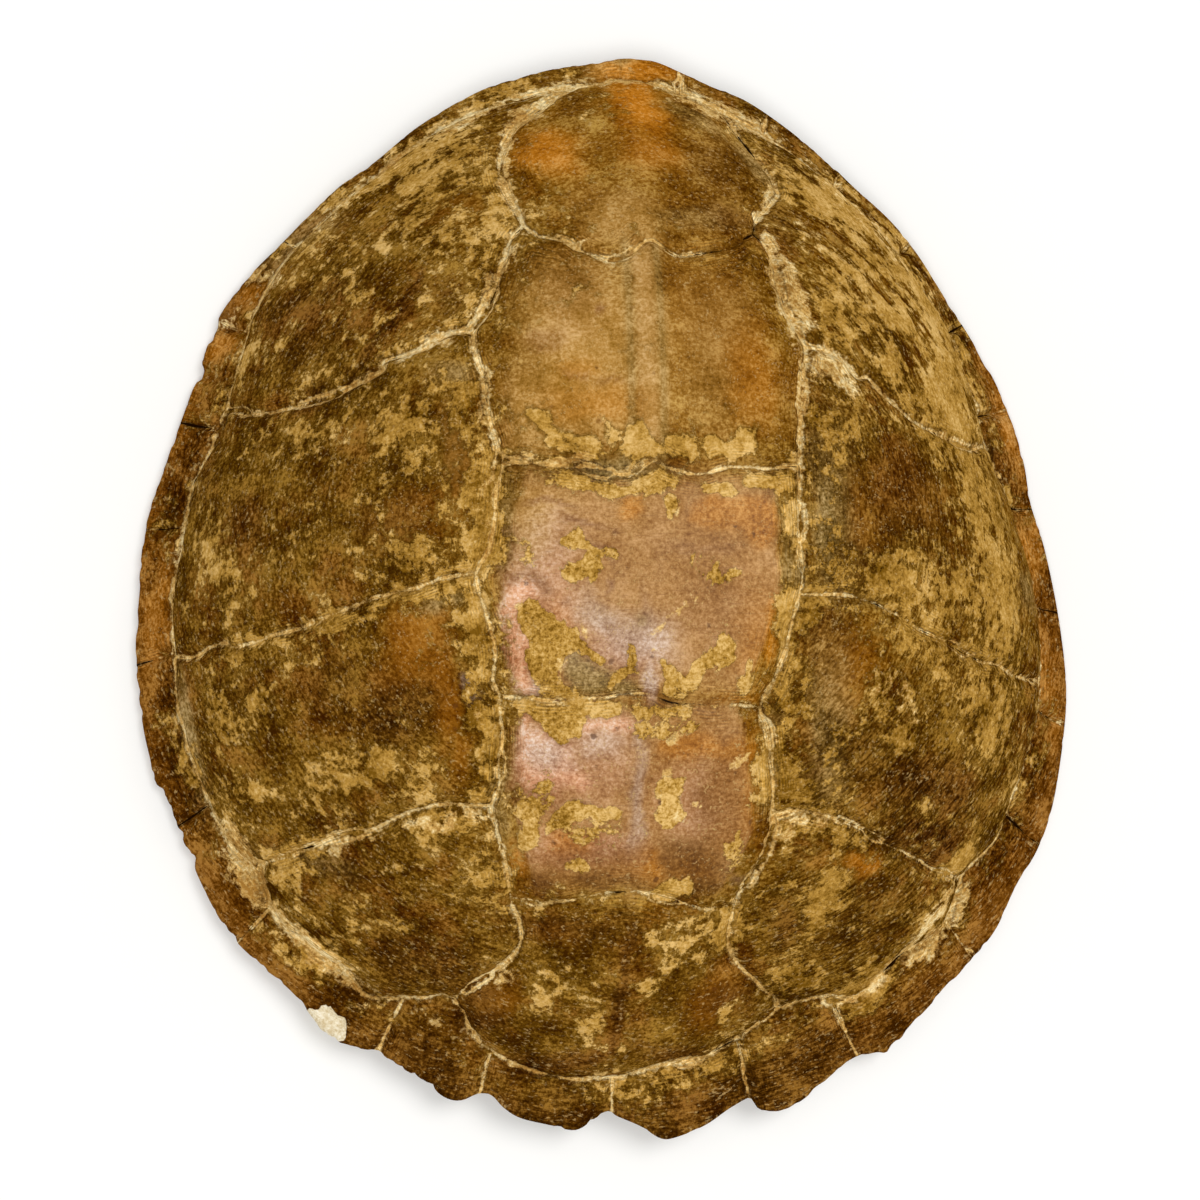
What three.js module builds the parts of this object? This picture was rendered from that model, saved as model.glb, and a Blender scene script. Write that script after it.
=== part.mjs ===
// Upper shell of a large snapping turtle, dried and empty, resting on its rim.
// Millimetres, +Z up, +Y towards the head. The origin is on the ground under the middle of the shell.
// The shell is bone and horn grown as one piece, so it is one closed solid, hollow underneath.
import * as THREE from 'three';

// ---- driving dimensions ----
const APEX_Y = 14; // the highest point is a little nearer the head than the middle
const DOME_HEIGHT = 97; // height of the dome at the apex, without the keel
const WALL = 5.5; // thickness of bone and horn together
const KEEL_HEIGHT = 1.8; // low ridge along the middle of the back
const KEEL_HALF_WIDTH = 7;
const EDGE_HEIGHT = 3.5; // thickness of the rim at its edge
const FRONT_LIFT = 12; // the rim rises over the neck
const REAR_LIFT = 9; // and a little over the tail
const LIP_SIDE = 8; // width of the rim's underside at the flanks
const LIP_END = 5; // and over the neck and the tail
const SECTORS = 96; // facets around the shell

// Edge of the rim seen from above, clockwise from over the neck. The rear rim is toothed:
// each rim scute ends in a rounded lobe, with a notch at the seam to the next.
const RIM = [
  [1, 162.5], [10.5, 162], [21, 158], [34, 153.5], [45, 148], [62.5, 136], [73.5, 126.5],
  [86, 116.5], [95, 106.5], [104, 93.5], [113.5, 80], [120.5, 68.5], [126, 56], [130, 42.5],
  [132, 29.5], [136, 17], [140.5, -4.5], [143, -25], [142.5, -40], [139, -62.5], [134, -77],
  [126, -90], [120, -102], [112, -111.5], [96, -128], [86, -138.5], [82, -139.5],
  [75.5, -140.5], [69, -145], [62, -151], [56, -155], [49.5, -157], [45, -155.5],
  [42.5, -153], [37, -155.5], [29.5, -160.5], [21, -164], [16, -164.5], [10, -161],
  [4, -157.5], [1, -156], [-3.5, -157.5], [-9.5, -162], [-17.5, -160.5], [-26, -158.5],
  [-31, -155.5], [-34.5, -152], [-38.5, -151.5], [-43.5, -153.5], [-48.5, -152.5],
  [-55, -147.5], [-62.5, -143.5], [-67.5, -138], [-77.5, -136.5], [-83.5, -134],
  [-88.5, -128.5], [-94, -122], [-102.5, -115], [-111.5, -106.5], [-117.5, -97.5],
  [-124, -84.5], [-129, -70], [-134, -60], [-137, -54.5], [-139.5, -44], [-142, -26],
  [-142, -7], [-140.5, 14.5], [-136.5, 29.5], [-131.5, 45], [-127, 59], [-121, 78],
  [-113, 92.5], [-102.5, 103.5], [-87.5, 117.5], [-75, 127], [-60.5, 139.5], [-42, 151],
  [-23, 157.5], [-6.5, 161],
];

// Inner edge of the rim scutes, where the dome ends in a shallow gutter, in the same order.
const GUTTER = [
  [5, 155.5], [12, 153], [21.5, 149.5], [30, 146], [45.5, 138.5], [53.5, 135], [64, 126.5],
  [76.5, 115.5], [88, 103.5], [96, 92], [102.5, 84], [107.5, 74.5], [112, 62.5], [115, 52],
  [116.5, 40.5], [121.5, 30], [126.5, 12], [130, -3], [131, -17], [130.5, -39.5],
  [125, -57], [121, -74.5], [114.5, -82], [107.5, -88.5], [103, -103.5], [95, -108.5],
  [88, -112.5], [75, -124], [64.5, -125], [50, -127.5], [43, -134], [27, -141.5],
  [14.5, -144.5], [-2.5, -148], [-22, -146], [-38.5, -138.5], [-48.5, -125.5],
  [-57.5, -125.5], [-71.5, -125], [-79, -118.5], [-94.5, -107], [-101, -101],
  [-105.5, -90], [-117.5, -77], [-123.5, -60], [-129.5, -41.5], [-131, -25.5],
  [-133.5, -8.5], [-130, 10.5], [-128.5, 27.5], [-122, 43], [-114.5, 72.5], [-107.5, 88],
  [-96, 102.5], [-82, 116.5], [-71.5, 125.5], [-56, 138], [-41, 144.5], [-22, 150],
  [-4, 155.5],
];

// Seams between rim scutes where the toothed rear rim is notched, in degrees from the head.
const NOTCHES = [153.9, 165.6, 179.7, 193.1, 203.9];

// The scutes of the flanks swell towards their upper rear corners: place, radius and height.
const FLANK_KNOBS = [
  [-66, 92, 26, 1.8], [-64, 38, 26, 2.4], [-64, -20, 26, 2.6], [-56, -74, 22, 2.4],
  [62, 94, 26, 1.8], [64, 38, 26, 2.4], [62, -22, 26, 2.6], [58, -76, 22, 2.4],
];

const clamp01 = (value) => Math.min(1, Math.max(0, value));
const degrees = (angle) => THREE.MathUtils.degToRad(angle);

// ---- outline ----
// Distance from the apex to a closed smooth curve through the points, as a function of the
// bearing: 0 is towards the head, and the bearing grows clockwise.
function polarRadius(points) {
  const corners = points.map(([x, y]) => new THREE.Vector3(x, y - APEX_Y, 0));
  const curve = new THREE.CatmullRomCurve3(corners, true, 'catmullrom', 0.5);
  const table = curve.getPoints(points.length * 12)
    .map((point) => [(Math.atan2(point.x, point.y) + 2 * Math.PI) % (2 * Math.PI), point.length()])
    .sort((a, b) => a[0] - b[0]);
  const first = table[0];
  const last = table[table.length - 1];
  table.unshift([last[0] - 2 * Math.PI, last[1]]);
  table.push([first[0] + 2 * Math.PI, first[1]]);
  return (bearing) => {
    const turn = ((bearing % (2 * Math.PI)) + 2 * Math.PI) % (2 * Math.PI);
    const next = table.findIndex(([angle]) => angle > turn);
    const [from, to] = [table[next - 1], table[next]];
    const share = (turn - from[0]) / (to[0] - from[0]);
    return from[1] + share * (to[1] - from[1]);
  };
}

const rimRadius = polarRadius(RIM);
const gutterRadius = polarRadius(GUTTER);

// The dome ends on the gutter with its small bends averaged out over 12 degrees either way.
function domeRadius(bearing) {
  let total = 0;
  let weights = 0;
  for (let step = -4; step <= 4; step += 1) {
    const weight = 1 - Math.abs(step) / 5;
    total += weight * gutterRadius(bearing + degrees(3 * step));
    weights += weight;
  }
  return Math.min(total / weights, rimRadius(bearing) - 4);
}

// ---- heights ----
const towardsHead = (bearing) => clamp01(Math.cos(bearing));
const towardsTail = (bearing) => clamp01(-Math.cos(bearing));

// The underside of the rim is level along both flanks and lifts over the neck and the tail.
function rimLift(bearing) {
  const front = clamp01((Math.cos(bearing) - 0.42) / 0.58) ** 1.5;
  const rear = clamp01((-Math.cos(bearing) - 0.5) / 0.5) ** 1.5;
  return FRONT_LIFT * front + REAR_LIFT * rear;
}

const gutterHeight = (bearing) =>
  15 + 8 * towardsHead(bearing) ** 2 + 3 * towardsTail(bearing) ** 2;

// The flanks fall steeply and late, the front and the rear fall sooner.
const domeSteepness = (bearing) =>
  2.65 - 0.6 * towardsHead(bearing) ** 2 - 0.4 * towardsTail(bearing) ** 2;

const lipWidth = (bearing) => LIP_END + (LIP_SIDE - LIP_END) * Math.sin(bearing) ** 2;

// Height of the plain outer surface at a distance from the apex: the dome inside the gutter,
// then the rim scutes, which flare out to the edge.
function plainHeight(radius, bearing) {
  const dome = domeRadius(bearing);
  const foot = gutterHeight(bearing);
  if (radius <= dome) {
    return foot + (DOME_HEIGHT - foot) * (1 - (radius / dome) ** domeSteepness(bearing));
  }
  const edge = rimLift(bearing) + EDGE_HEIGHT;
  const out = clamp01((radius - dome) / (rimRadius(bearing) - dome));
  return edge + (foot - edge) * (1 - out) ** 1.3;
}

// Keel and flank knobs that stand on the plain surface and fade out towards the gutter.
function relief(x, y, radius, bearing) {
  const inside = clamp01((1 - radius / domeRadius(bearing)) / 0.25);
  let height = KEEL_HEIGHT * Math.exp(-((x / KEEL_HALF_WIDTH) ** 2));
  for (const [knobX, knobY, size, rise] of FLANK_KNOBS) {
    height += rise * Math.exp(-((x - knobX) ** 2 + (y - knobY) ** 2) / size ** 2);
  }
  return height * inside;
}

// ---- the solid ----
// Bearings of the sectors, with the nearest one moved onto each notch of the rear rim.
const bearings = Array.from({ length: SECTORS }, (_, i) => (360 * i) / SECTORS);
for (const notch of NOTCHES) {
  bearings[Math.round((notch * SECTORS) / 360)] = notch;
}

const pointAt = (radius, bearing, z) =>
  [radius * Math.sin(bearing), APEX_Y + radius * Math.cos(bearing), z];

function outerPoint(radius, bearing) {
  const [x, y] = pointAt(radius, bearing, 0);
  return [x, y, plainHeight(radius, bearing) + relief(x, y, radius, bearing)];
}

// The inner wall lies one wall thickness inside the plain surface, square to it.
function innerPoint(radius, bearing) {
  const reach = 0.5;
  const rise = plainHeight(radius + reach, bearing) - plainHeight(Math.max(0, radius - reach), bearing);
  const slope = rise / (radius < reach ? radius + reach : 2 * reach);
  const length = Math.hypot(1, slope);
  const inward = (WALL * slope) / length;
  return pointAt(radius + inward, bearing, plainHeight(radius, bearing) - WALL / length);
}

const DOME_RINGS = [0.1, 0.2, 0.3, 0.4, 0.5, 0.6, 0.7, 0.78, 0.86, 0.93, 1];
const RIM_RINGS = [0.35, 0.7, 0.97];
const INNER_RINGS = [1, 0.93, 0.84, 0.72, 0.58, 0.44, 0.3, 0.16];

// One ring is a function of the bearing. They run from the apex over the dome to the edge of
// the rim, round it, across its underside and up the inner wall.
const rings = [
  ...DOME_RINGS.map((share) => (b) => outerPoint(share * domeRadius(b), b)),
  ...RIM_RINGS.map((share) => (b) => {
    const dome = domeRadius(b);
    return outerPoint(dome + share * (rimRadius(b) - dome), b);
  }),
  (b) => pointAt(rimRadius(b), b, rimLift(b) + EDGE_HEIGHT / 2),
  (b) => pointAt(rimRadius(b) - 2, b, rimLift(b)),
  (b) => pointAt(rimRadius(b) - lipWidth(b), b, rimLift(b)),
  ...INNER_RINGS.map((share) => (b) => innerPoint(share * domeRadius(b), b)),
];

function shellGeometry() {
  const positions = [0, APEX_Y, DOME_HEIGHT + KEEL_HEIGHT];
  for (const ring of rings) {
    for (const bearing of bearings) {
      positions.push(...ring(degrees(bearing)));
    }
  }
  positions.push(0, APEX_Y, DOME_HEIGHT - WALL);
  const lastPoint = positions.length / 3 - 1;
  const at = (ring, sector) => 1 + ring * SECTORS + (sector % SECTORS);

  const faces = [];
  for (let sector = 0; sector < SECTORS; sector += 1) {
    faces.push(0, at(0, sector + 1), at(0, sector));
    for (let ring = 0; ring + 1 < rings.length; ring += 1) {
      const [a, b] = [at(ring, sector), at(ring, sector + 1)];
      const [c, d] = [at(ring + 1, sector), at(ring + 1, sector + 1)];
      faces.push(a, b, d, a, d, c);
    }
    faces.push(lastPoint, at(rings.length - 1, sector), at(rings.length - 1, sector + 1));
  }

  const geometry = new THREE.BufferGeometry();
  geometry.setAttribute('position', new THREE.Float32BufferAttribute(positions, 3));
  geometry.setIndex(faces);
  geometry.computeVertexNormals();
  return geometry;
}

const weatheredHorn = new THREE.MeshStandardMaterial({
  color: 0x7a5a2a, roughness: 0.6, metalness: 0,
});

const carapace = new THREE.Mesh(shellGeometry(), weatheredHorn);
carapace.name = 'carapace';

const group = new THREE.Group();
group.add(carapace);

export default group;
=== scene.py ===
import bpy
import numpy as np
from mathutils import Matrix, Vector


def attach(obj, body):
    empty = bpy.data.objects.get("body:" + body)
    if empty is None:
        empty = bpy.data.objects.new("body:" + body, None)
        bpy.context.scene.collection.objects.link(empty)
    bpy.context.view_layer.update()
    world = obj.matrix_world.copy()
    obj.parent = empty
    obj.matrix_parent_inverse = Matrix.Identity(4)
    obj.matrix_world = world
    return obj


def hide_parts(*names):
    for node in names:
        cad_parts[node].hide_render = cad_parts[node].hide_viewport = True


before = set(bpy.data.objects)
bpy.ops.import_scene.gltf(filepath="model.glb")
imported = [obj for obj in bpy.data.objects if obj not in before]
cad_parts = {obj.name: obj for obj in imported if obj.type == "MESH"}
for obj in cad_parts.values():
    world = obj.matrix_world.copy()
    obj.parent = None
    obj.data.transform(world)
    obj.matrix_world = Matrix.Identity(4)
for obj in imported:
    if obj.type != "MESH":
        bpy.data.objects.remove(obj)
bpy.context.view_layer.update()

MM = 0.001


# ---- the carapace: its plan ----
# A turtle's upper shell is bone plates under horn scutes, grown together as one piece. Five back
# scutes and four flank scutes a side cover the dome, and narrow rim scutes run round the edge,
# toothed over the tail. Plans are in millimetres: x to the right, y towards the head.

APEX = np.array([0.0, 14.0])

RIM = [
    [1, 162.5], [10.5, 162], [21, 158], [34, 153.5], [45, 148], [62.5, 136], [73.5, 126.5],
    [86, 116.5], [95, 106.5], [104, 93.5], [113.5, 80], [120.5, 68.5], [126, 56], [130, 42.5],
    [132, 29.5], [136, 17], [140.5, -4.5], [143, -25], [142.5, -40], [139, -62.5], [134, -77],
    [126, -90], [120, -102], [112, -111.5], [96, -128], [86, -138.5], [82, -139.5],
    [75.5, -140.5], [69, -145], [62, -151], [56, -155], [49.5, -157], [45, -155.5],
    [42.5, -153], [37, -155.5], [29.5, -160.5], [21, -164], [16, -164.5], [10, -161],
    [4, -158.5], [1, -157.5], [-3.5, -158.5], [-9.5, -162], [-17.5, -160.5], [-26, -158.5],
    [-31, -155.5], [-34.5, -152], [-38.5, -151.5], [-43.5, -153.5], [-48.5, -152.5],
    [-55, -147.5], [-62.5, -143.5], [-68.5, -139.5], [-78, -138], [-84.5, -135],
    [-88.5, -128.5], [-94, -122], [-102.5, -115], [-111.5, -106.5], [-117.5, -97.5],
    [-124, -84.5], [-130, -70.5], [-135.5, -60.5], [-137, -54.5], [-139.5, -44], [-142, -26],
    [-142, -7], [-140.5, 14.5], [-136.5, 29.5], [-131.5, 45], [-127, 59], [-121, 78],
    [-112, 91.5], [-101.5, 102.5], [-87.5, 117.5], [-75, 127], [-60.5, 139.5], [-42, 151],
    [-23, 157.5], [-6.5, 161],
]
GUTTER = [
    [5, 155.5], [12, 153], [21.5, 149.5], [30, 146], [45.5, 138.5], [53.5, 135], [64, 126.5],
    [76.5, 115.5], [88, 103.5], [96, 92], [102.5, 84], [107.5, 74.5], [112, 62.5], [115, 52],
    [118, 40.5], [124, 30], [129.5, 12], [133, -3], [134, -17], [133, -39.5],
    [127, -57], [121, -74.5], [114.5, -82], [107.5, -88.5], [103, -103.5], [95, -108.5],
    [88, -112.5], [75, -124], [64.5, -125], [50, -127.5], [43, -134], [27, -141.5],
    [14.5, -144.5], [-2.5, -148], [-22, -146], [-38.5, -138.5], [-48.5, -125.5],
    [-57.5, -125.5], [-71.5, -125], [-79, -118.5], [-94.5, -107], [-101, -101],
    [-105.5, -90], [-117.5, -77], [-125, -60], [-131.5, -41.5], [-133, -25.5],
    [-134.5, -8.5], [-132, 10.5], [-129.5, 27.5], [-122, 43], [-114.5, 72.5], [-107.5, 88],
    [-96, 102.5], [-82, 116.5], [-71.5, 125.5], [-56, 138], [-41, 144.5], [-22, 150],
    [-4, 155.5],
]
# Seams between the back scutes and the flank scutes, from the head to the tail.
LEFT_SEAM = [
    [-12, 154.5], [-17.5, 150], [-22.5, 146.5], [-27.5, 141.5], [-35.5, 133], [-39, 124.5],
    [-40, 121], [-39.5, 113], [-36.5, 104], [-34.5, 97.5], [-38, 92], [-42, 79.5],
    [-43.5, 73.5], [-46.5, 66.5], [-49.5, 62], [-48, 52.5], [-46, 41.5], [-44, 31],
    [-42.5, 24.5], [-43, 17.5], [-43.5, 9], [-44.5, 0], [-48, -6.5], [-46.5, -14],
    [-43.5, -22.5], [-42.5, -30], [-43, -35.5], [-41, -40], [-40, -47], [-39.5, -57],
    [-39.5, -64], [-41.5, -69.5], [-38, -80.5], [-36, -87], [-34.5, -95], [-31.5, -101],
    [-30.5, -106.5], [-32.5, -111.5], [-37.5, -115.5], [-43, -120], [-48.5, -125.5],
]
RIGHT_SEAM = [
    [21.5, 149.5], [26.5, 147.5], [31, 144.5], [35, 134.5], [40.5, 126.5], [43.5, 117],
    [43, 113], [37, 106.5], [33.5, 98.5], [37.5, 92.5], [39, 79], [41.5, 70], [45.5, 61.5],
    [44, 53], [42.5, 41.5], [41, 28], [41, 24.5], [41, 17], [41.5, 7.5], [42, -5],
    [41.5, -10.5], [39.5, -17.5], [37, -28], [34.5, -34.5], [31.5, -41], [34, -47],
    [36, -57.5], [38, -71], [38.5, -76], [36, -84], [31.5, -93], [30.5, -96.5],
    [29.5, -102], [30, -108.5], [34.5, -114.5], [42, -119.5], [48.5, -125], [50, -127.5],
]
# Seams across the back and down the flanks, each from left to right, head end first.
BACK_SEAMS = [
    [[-34.5, 97.5], [-29.5, 92.5], [-22, 91], [-18, 87.5], [-11.5, 85], [-5.5, 86.5],
     [0.5, 92], [5.5, 89.5], [9.5, 87.5], [18, 89.5], [23.5, 91.5], [33.5, 98.5]],
    [[-42.5, 24.5], [-30, 23.5], [-21.5, 22.5], [-13.5, 21], [-6.5, 21.5], [-2.5, 24],
     [0, 25], [3, 23.5], [8, 22], [15, 22.5], [23.5, 24.5], [32, 24.5], [41, 25]],
    [[-41, -40], [-32, -40.5], [-21.5, -40.5], [-11, -39.5], [-0.5, -38.5], [3.5, -40],
     [8.5, -41], [17, -41], [25.5, -41], [31.5, -41]],
    [[-34.5, -95], [-28.5, -96], [-20.5, -95.5], [-12.5, -93.5], [-5, -92.5], [2.5, -93],
     [12, -95], [20, -97], [25.5, -97.5], [30.5, -96.5]],
]
LEFT_SEAMS = [
    [[-120.5, 49.5], [-115, 47.5], [-107.5, 45], [-99.5, 45.5], [-87, 47], [-74.5, 52],
     [-74.5, 54.5], [-70, 56], [-63, 58], [-59.5, 60.5], [-55, 62.5], [-49.5, 62]],
    [[-133, -25.5], [-125, -25.5], [-120.5, -23.5], [-116, -22.5], [-113, -24], [-104, -22],
     [-94.5, -20], [-85.5, -16.5], [-75, -13], [-64, -10], [-54.5, -7.5], [-48, -6.5]],
    [[-105.5, -90], [-103, -85.5], [-95, -82.5], [-88, -79.5], [-80, -77.5],
     [-72.5, -75.5], [-65.5, -72], [-60.5, -70], [-51.5, -68.5], [-41.5, -69.5]],
]
RIGHT_SEAMS = [
    [[45.5, 61.5], [54, 61], [59, 57], [61.5, 54.5], [65.5, 55.5], [69, 51.5], [75.5, 47],
     [82, 44], [89.5, 42], [98, 41], [105, 41], [116, 45.5]],
    [[41.5, -10.5], [49.5, -10], [56.5, -10], [62, -11], [68, -13], [74, -15.5],
     [82, -18.5], [92.5, -21.5], [101.5, -24.5], [111, -25], [120, -27.5], [133.5, -27.5]],
    [[38, -71], [44.5, -69.5], [51.5, -70.5], [59, -72], [67, -75], [73, -78], [81, -80],
     [89, -83.5], [94.5, -85], [107.5, -88.5]],
]
# Bearings of the seams between rim scutes, in degrees clockwise from the head.
RIM_SEAMS = [
    7, 19, 31, 44, 57, 70, 84, 97.5, 110.6, 124, 138, 153.9, 165.7, 179.7, 193, 204, 222,
    235.5, 254, 270, 284, 298, 311,
]


def smooth_line(points, closed=False, steps=6):
    """Points along a smooth line: between two corners it is the cubic that leaves each of them
    in the direction from the corner before to the corner after (Catmull-Rom)."""
    points = np.array(points, float)
    if closed:
        points = np.vstack([points[-1:], points, points[:2]])
    else:
        points = np.vstack([2 * points[:1] - points[1:2], points, 2 * points[-1:] - points[-2:-1]])
    a, b, c, d = (points[i:len(points) - 3 + i, None] for i in range(4))
    t = (np.arange(steps) / steps)[None, :, None]
    line = (b + t * (c - a) / 2 + t**2 * (a - 2.5 * b + 2 * c - d / 2)
            + t**3 * (1.5 * (b - c) + (d - a) / 2))
    line = line.reshape(-1, points.shape[1])
    return line if closed else np.vstack([line, points[-2:-1]])


def polar_radius(points):
    """Distance from the apex to a closed smooth line, as a function of the bearing in radians,
    clockwise from the head."""
    line = smooth_line(points, closed=True, steps=12) - APEX
    bearing = np.arctan2(line[:, 0], line[:, 1]) % (2 * np.pi)
    radius = np.hypot(line[:, 0], line[:, 1])
    return lambda at: np.interp(at, bearing, radius, period=2 * np.pi)


rim_radius = polar_radius(RIM)
gutter_radius = polar_radius(GUTTER)


def dome_radius(bearing):
    """The gutter's distance with its small bends averaged out over 12 degrees either way, and at
    least 4 mm inside the rim."""
    weights = 1 - np.abs(np.arange(-4, 5)) / 5
    shifts = np.radians(3 * np.arange(-4, 5))
    mean = sum(w * gutter_radius(bearing + s) for w, s in zip(weights, shifts)) / weights.sum()
    return np.minimum(mean, rim_radius(bearing) - 4)


# ---- the carapace: its dome ----
# The dome stands about 97 mm high, steep at the flanks and easier over the neck and the tail.
# Its rim lies level along both flanks and lifts at both ends. Bone and horn together are
# about 5.5 mm thick.

DOME_HEIGHT = 97
WALL = 5.5
EDGE_HEIGHT, EDGE_ROUNDING = 3.5, 2
NECK_LIFT, TAIL_LIFT = 12, 9


def rim_lift(bearing):
    """Height of the rim's underside: 0 along the flanks, rising to the neck and to the tail with
    the power 1.5 of the bearing's cosine."""
    front = np.clip((np.cos(bearing) - 0.42) / 0.58, 0, 1) ** 1.5
    rear = np.clip((-np.cos(bearing) - 0.5) / 0.5, 0, 1) ** 1.5
    return NECK_LIFT * front + TAIL_LIFT * rear


def plain_height(radius, bearing):
    """Height of the shell without relief. Inside the gutter it falls with a power of the distance
    from the apex, and outside it flares out flat to the rim's edge."""
    head, tail = np.clip(np.cos(bearing), 0, 1) ** 2, np.clip(-np.cos(bearing), 0, 1) ** 2
    dome, rim = dome_radius(bearing), rim_radius(bearing)
    foot = 15 + 8 * head + 3 * tail
    steepness = 2.65 - 0.6 * head - 0.4 * tail
    edge = rim_lift(bearing) + EDGE_HEIGHT
    inside = foot + (DOME_HEIGHT - foot) * (1 - np.clip(radius / dome, 0, 1) ** steepness)
    out = np.clip((radius - dome) / (rim - dome), 0, 1)
    return np.where(radius <= dome, inside, edge + (foot - edge) * (1 - out) ** 1.3)


def plain_points(radius, bearing):
    """Points on the plain shell and its outward direction there, taken from its slope along the
    line from the apex."""
    reach = 0.5
    low, high = np.maximum(radius - reach, 0), radius + reach
    slope = (plain_height(high, bearing) - plain_height(low, bearing)) / (high - low)
    length = np.hypot(1, slope)
    east, north = np.sin(bearing), np.cos(bearing)
    points = np.stack([radius * east, APEX[1] + radius * north, plain_height(radius, bearing)], -1)
    outward = np.stack([-slope * east, -slope * north, np.ones_like(slope)], -1)
    return points, outward / length[..., None]


def disc_grid(rings):
    """A square grid bent to a disc: grid ring k, which has 8 k points, becomes the circle at the
    share k / rings, with its points evenly spread. Gives share and bearing."""
    i, j = np.mgrid[-rings:rings + 1, -rings:rings + 1].astype(float)
    ring = np.maximum(np.abs(i), np.abs(j))
    k = np.maximum(ring, 1)
    bearing = np.select(
        [(j == ring) & (ring > 0), i == ring, j == -ring],
        [i / k, 2 - j / k, 4 - i / k], 6 + j / k)
    return (ring / rings).ravel(), (bearing * np.pi / 4).ravel() % (2 * np.pi)


def disc_faces(rings, first, upwards):
    """Squares of the disc grid whose points start at index first."""
    side = 2 * rings + 1
    index = first + np.arange(side * side).reshape(side, side)
    a, b, c, d = index[:-1, :-1], index[1:, :-1], index[1:, 1:], index[:-1, 1:]
    order = [a, b, c, d] if upwards else [a, d, c, b]
    return np.stack(order, -1).reshape(-1, 4)


def disc_edge(rings, first):
    """Indices of the disc grid's outer points, clockwise from the head."""
    share, bearing = disc_grid(rings)
    edge = np.flatnonzero(share == 1)
    return first + edge[np.argsort(bearing[edge])]


TOP_RINGS = 130
share, bearing = disc_grid(TOP_RINGS)
top_radius = (rim_radius(bearing) - EDGE_ROUNDING) * share * (1.18 - 0.18 * share)
top, top_outward = plain_points(top_radius, bearing)
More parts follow.
